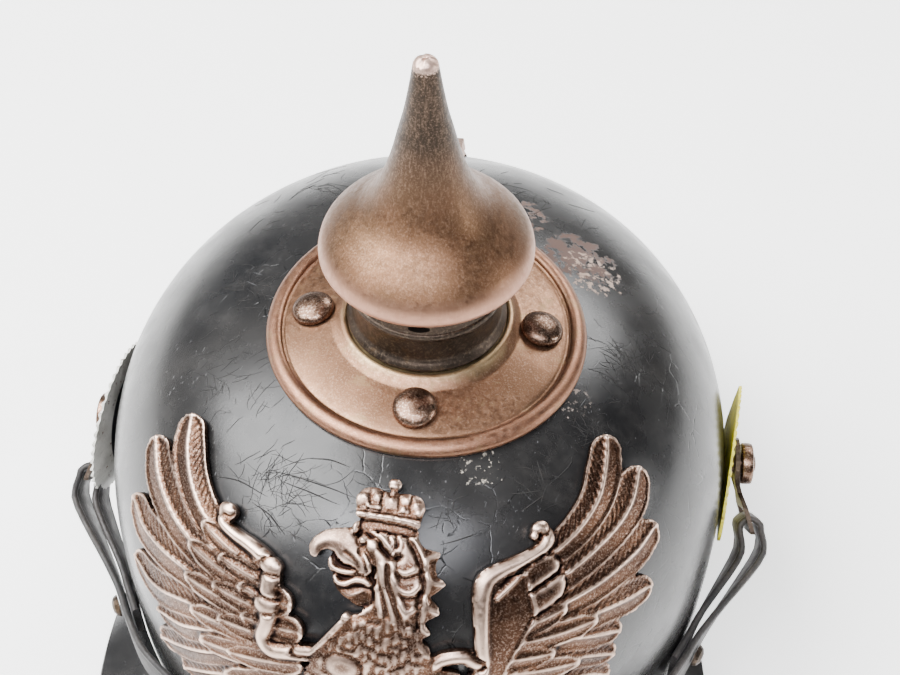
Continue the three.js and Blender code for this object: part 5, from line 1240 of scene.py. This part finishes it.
def make_cracks():
    draw = np.random.default_rng(11)
    paths = [(path, 0.2) for path in CRACKS]
    for (degrees, run), count, spread, length, main in CRACK_CLUSTERS:
        for _ in range(count):
            start = np.array([degrees + draw.normal() * spread * 0.5, run + draw.normal() * spread * 0.4])
            heading = math.radians(main + draw.choice([0, 0, 65]) + draw.normal() * 22)
            reach = length * draw.uniform(0.3, 1.2)
            path = [start]
            for _ in range(4):
                heading += draw.normal() * 0.22
                step = np.array([math.cos(heading) / 1.2, math.sin(heading)]) * reach / 4
                path.append(path[-1] + step)
            paths.append((path, draw.uniform(0.05, 0.11)))
    points, faces = [], []
    for path, width in paths:
        centre = spline(path, 4)
        count = len(centre)
        scale = mm_per_degree(centre[:, 0], centre[:, 1])
        step = np.gradient(centre, axis=0) * np.stack([scale, np.ones(count)], -1)
        step /= np.linalg.norm(step, axis=1, keepdims=True)
        taper = width * np.sin(np.linspace(0.06, np.pi - 0.06, count)) ** 0.6
        side = np.stack([-step[:, 1] / scale, step[:, 0]], -1) * taper[:, None]
        left, right = centre + side, centre - side
        top = [over_shell(p[:, 0], p[:, 1], np.full(count, 0.045)) for p in (left, right)]
        low = [over_shell(p[:, 0], p[:, 1], np.full(count, -0.05)) for p in (left, right)]
        sections = np.stack([low[0], top[0], top[1], low[1]], 1)
        start = sum(len(p) for p in points)
        flat, quads = lofted(sections)
        points.append(flat)
        faces += [[i + start for i in quad] for quad in quads]
    material, tree = new_material("open_lacquer_crack")
    place = add(tree, "ShaderNodeTexCoord").outputs["Object"]
    # Dirt lies in the open crack, so it is dull and near black.
    colour = blend_colour(tree, ramp(tree, noise(tree, place, 1.5, 3), 0.4, 0.7), "#070706", "#1c1815")
    close_material(tree, {"Roughness": 0.8, "IOR": 1.45}, {"Base Color": colour})
    piece("lacquer_cracks", np.concatenate(points), faces, material, sharp=0)


make_cracks()


# Floor, light and camera

def make_floor():
    mesh = bpy.data.meshes.new("floor")
    size = 9.0
    corners = [(-size, -size, 0), (size, -size, 0), (size, size, 0), (-size, size, 0)]
    mesh.from_pydata(corners, [], [(0, 1, 2, 3)])
    floor = bpy.data.objects.new("floor", mesh)
    material, tree = new_material("pale_paper_floor")
    place = add(tree, "ShaderNodeTexCoord").outputs["Object"]
    colour = blend_colour(tree, noise(tree, place, 60, 3), "#f4f4f2", "#fbfbfa")
    # The paper is lit from below too, as on a light table, which gives the photograph's white ground.
    close_material(tree, {"Roughness": 0.9, "Emission Strength": 1.0},
                   {"Base Color": colour, "Emission Color": colour})
    mesh.materials.append(material)
    bpy.context.scene.collection.objects.link(floor)


make_floor()


def soft_light(name, place, target, size, watts, tint="#ffffff"):
    data = bpy.data.lights.new(name, "AREA")
    data.shape = "RECTANGLE"
    data.size, data.size_y = size
    data.energy = watts
    data.color = linear(tint)[:3]
    lamp = bpy.data.objects.new(name, data)
    lamp.location = place
    lamp.rotation_mode = "QUATERNION"
    lamp.rotation_quaternion = (Vector(target) - Vector(place)).to_track_quat("-Z", "Y")
    bpy.context.scene.collection.objects.link(lamp)


soft_light("window_light", (-0.72, -0.1, 1.1), (0, -0.02, 0.14), (1.1, 0.9), 62)
soft_light("front_light", (-0.05, -0.72, 1.2), (0, -0.05, 0.12), (1.0, 0.5), 26, "#f7f8ff")
soft_light("back_light", (0.55, 0.95, 0.9), (0, 0, 0.15), (0.7, 0.5), 16)
soft_light("side_light", (1.1, -0.1, 0.35), (0.1, 0, 0.04), (0.3, 0.3), 4)


def make_world():
    """A plain room: brighter to the left and overhead, darker to the right."""
    world = bpy.data.worlds.new("plain_room")
    world.use_nodes = True
    tree = world.node_tree
    background = tree.nodes["Background"]
    place = add(tree, "ShaderNodeTexCoord").outputs["Generated"]
    across = add(tree, "ShaderNodeSeparateXYZ", None, {0: place}).outputs["X"]
    colour = blend_colour(tree, ramp(tree, across, -0.6, 0.7), "#c9cdd1", "#4e4a47")
    tree.links.new(colour, background.inputs["Color"])
    background.inputs["Strength"].default_value = 0.5
    bpy.context.scene.world = world


make_world()


def make_camera():
    turn, rise, roll = (math.radians(a) for a in (CAMERA_TURN, CAMERA_RISE, CAMERA_ROLL))
    back = Vector((math.sin(turn) * math.cos(rise), -math.cos(turn) * math.cos(rise), math.sin(rise)))
    right = Vector((math.cos(turn), math.sin(turn), 0))
    up = back.cross(right)
    side = math.cos(roll) * right + math.sin(roll) * up
    top = -math.sin(roll) * right + math.cos(roll) * up
    place = (Vector(CAMERA_TARGET) + back * CAMERA_DISTANCE) * MM
    data = bpy.data.cameras.new("photo_camera")
    data.lens, data.sensor_width = CAMERA_LENS, CAMERA_SENSOR
    data.clip_start, data.clip_end = 0.02, 20
    camera = bpy.data.objects.new("photo_camera", data)
    matrix = Matrix((side, top, back)).transposed().to_4x4()
    matrix.translation = place
    camera.matrix_world = matrix
    bpy.context.scene.collection.objects.link(camera)
    bpy.context.scene.camera = camera


make_camera()
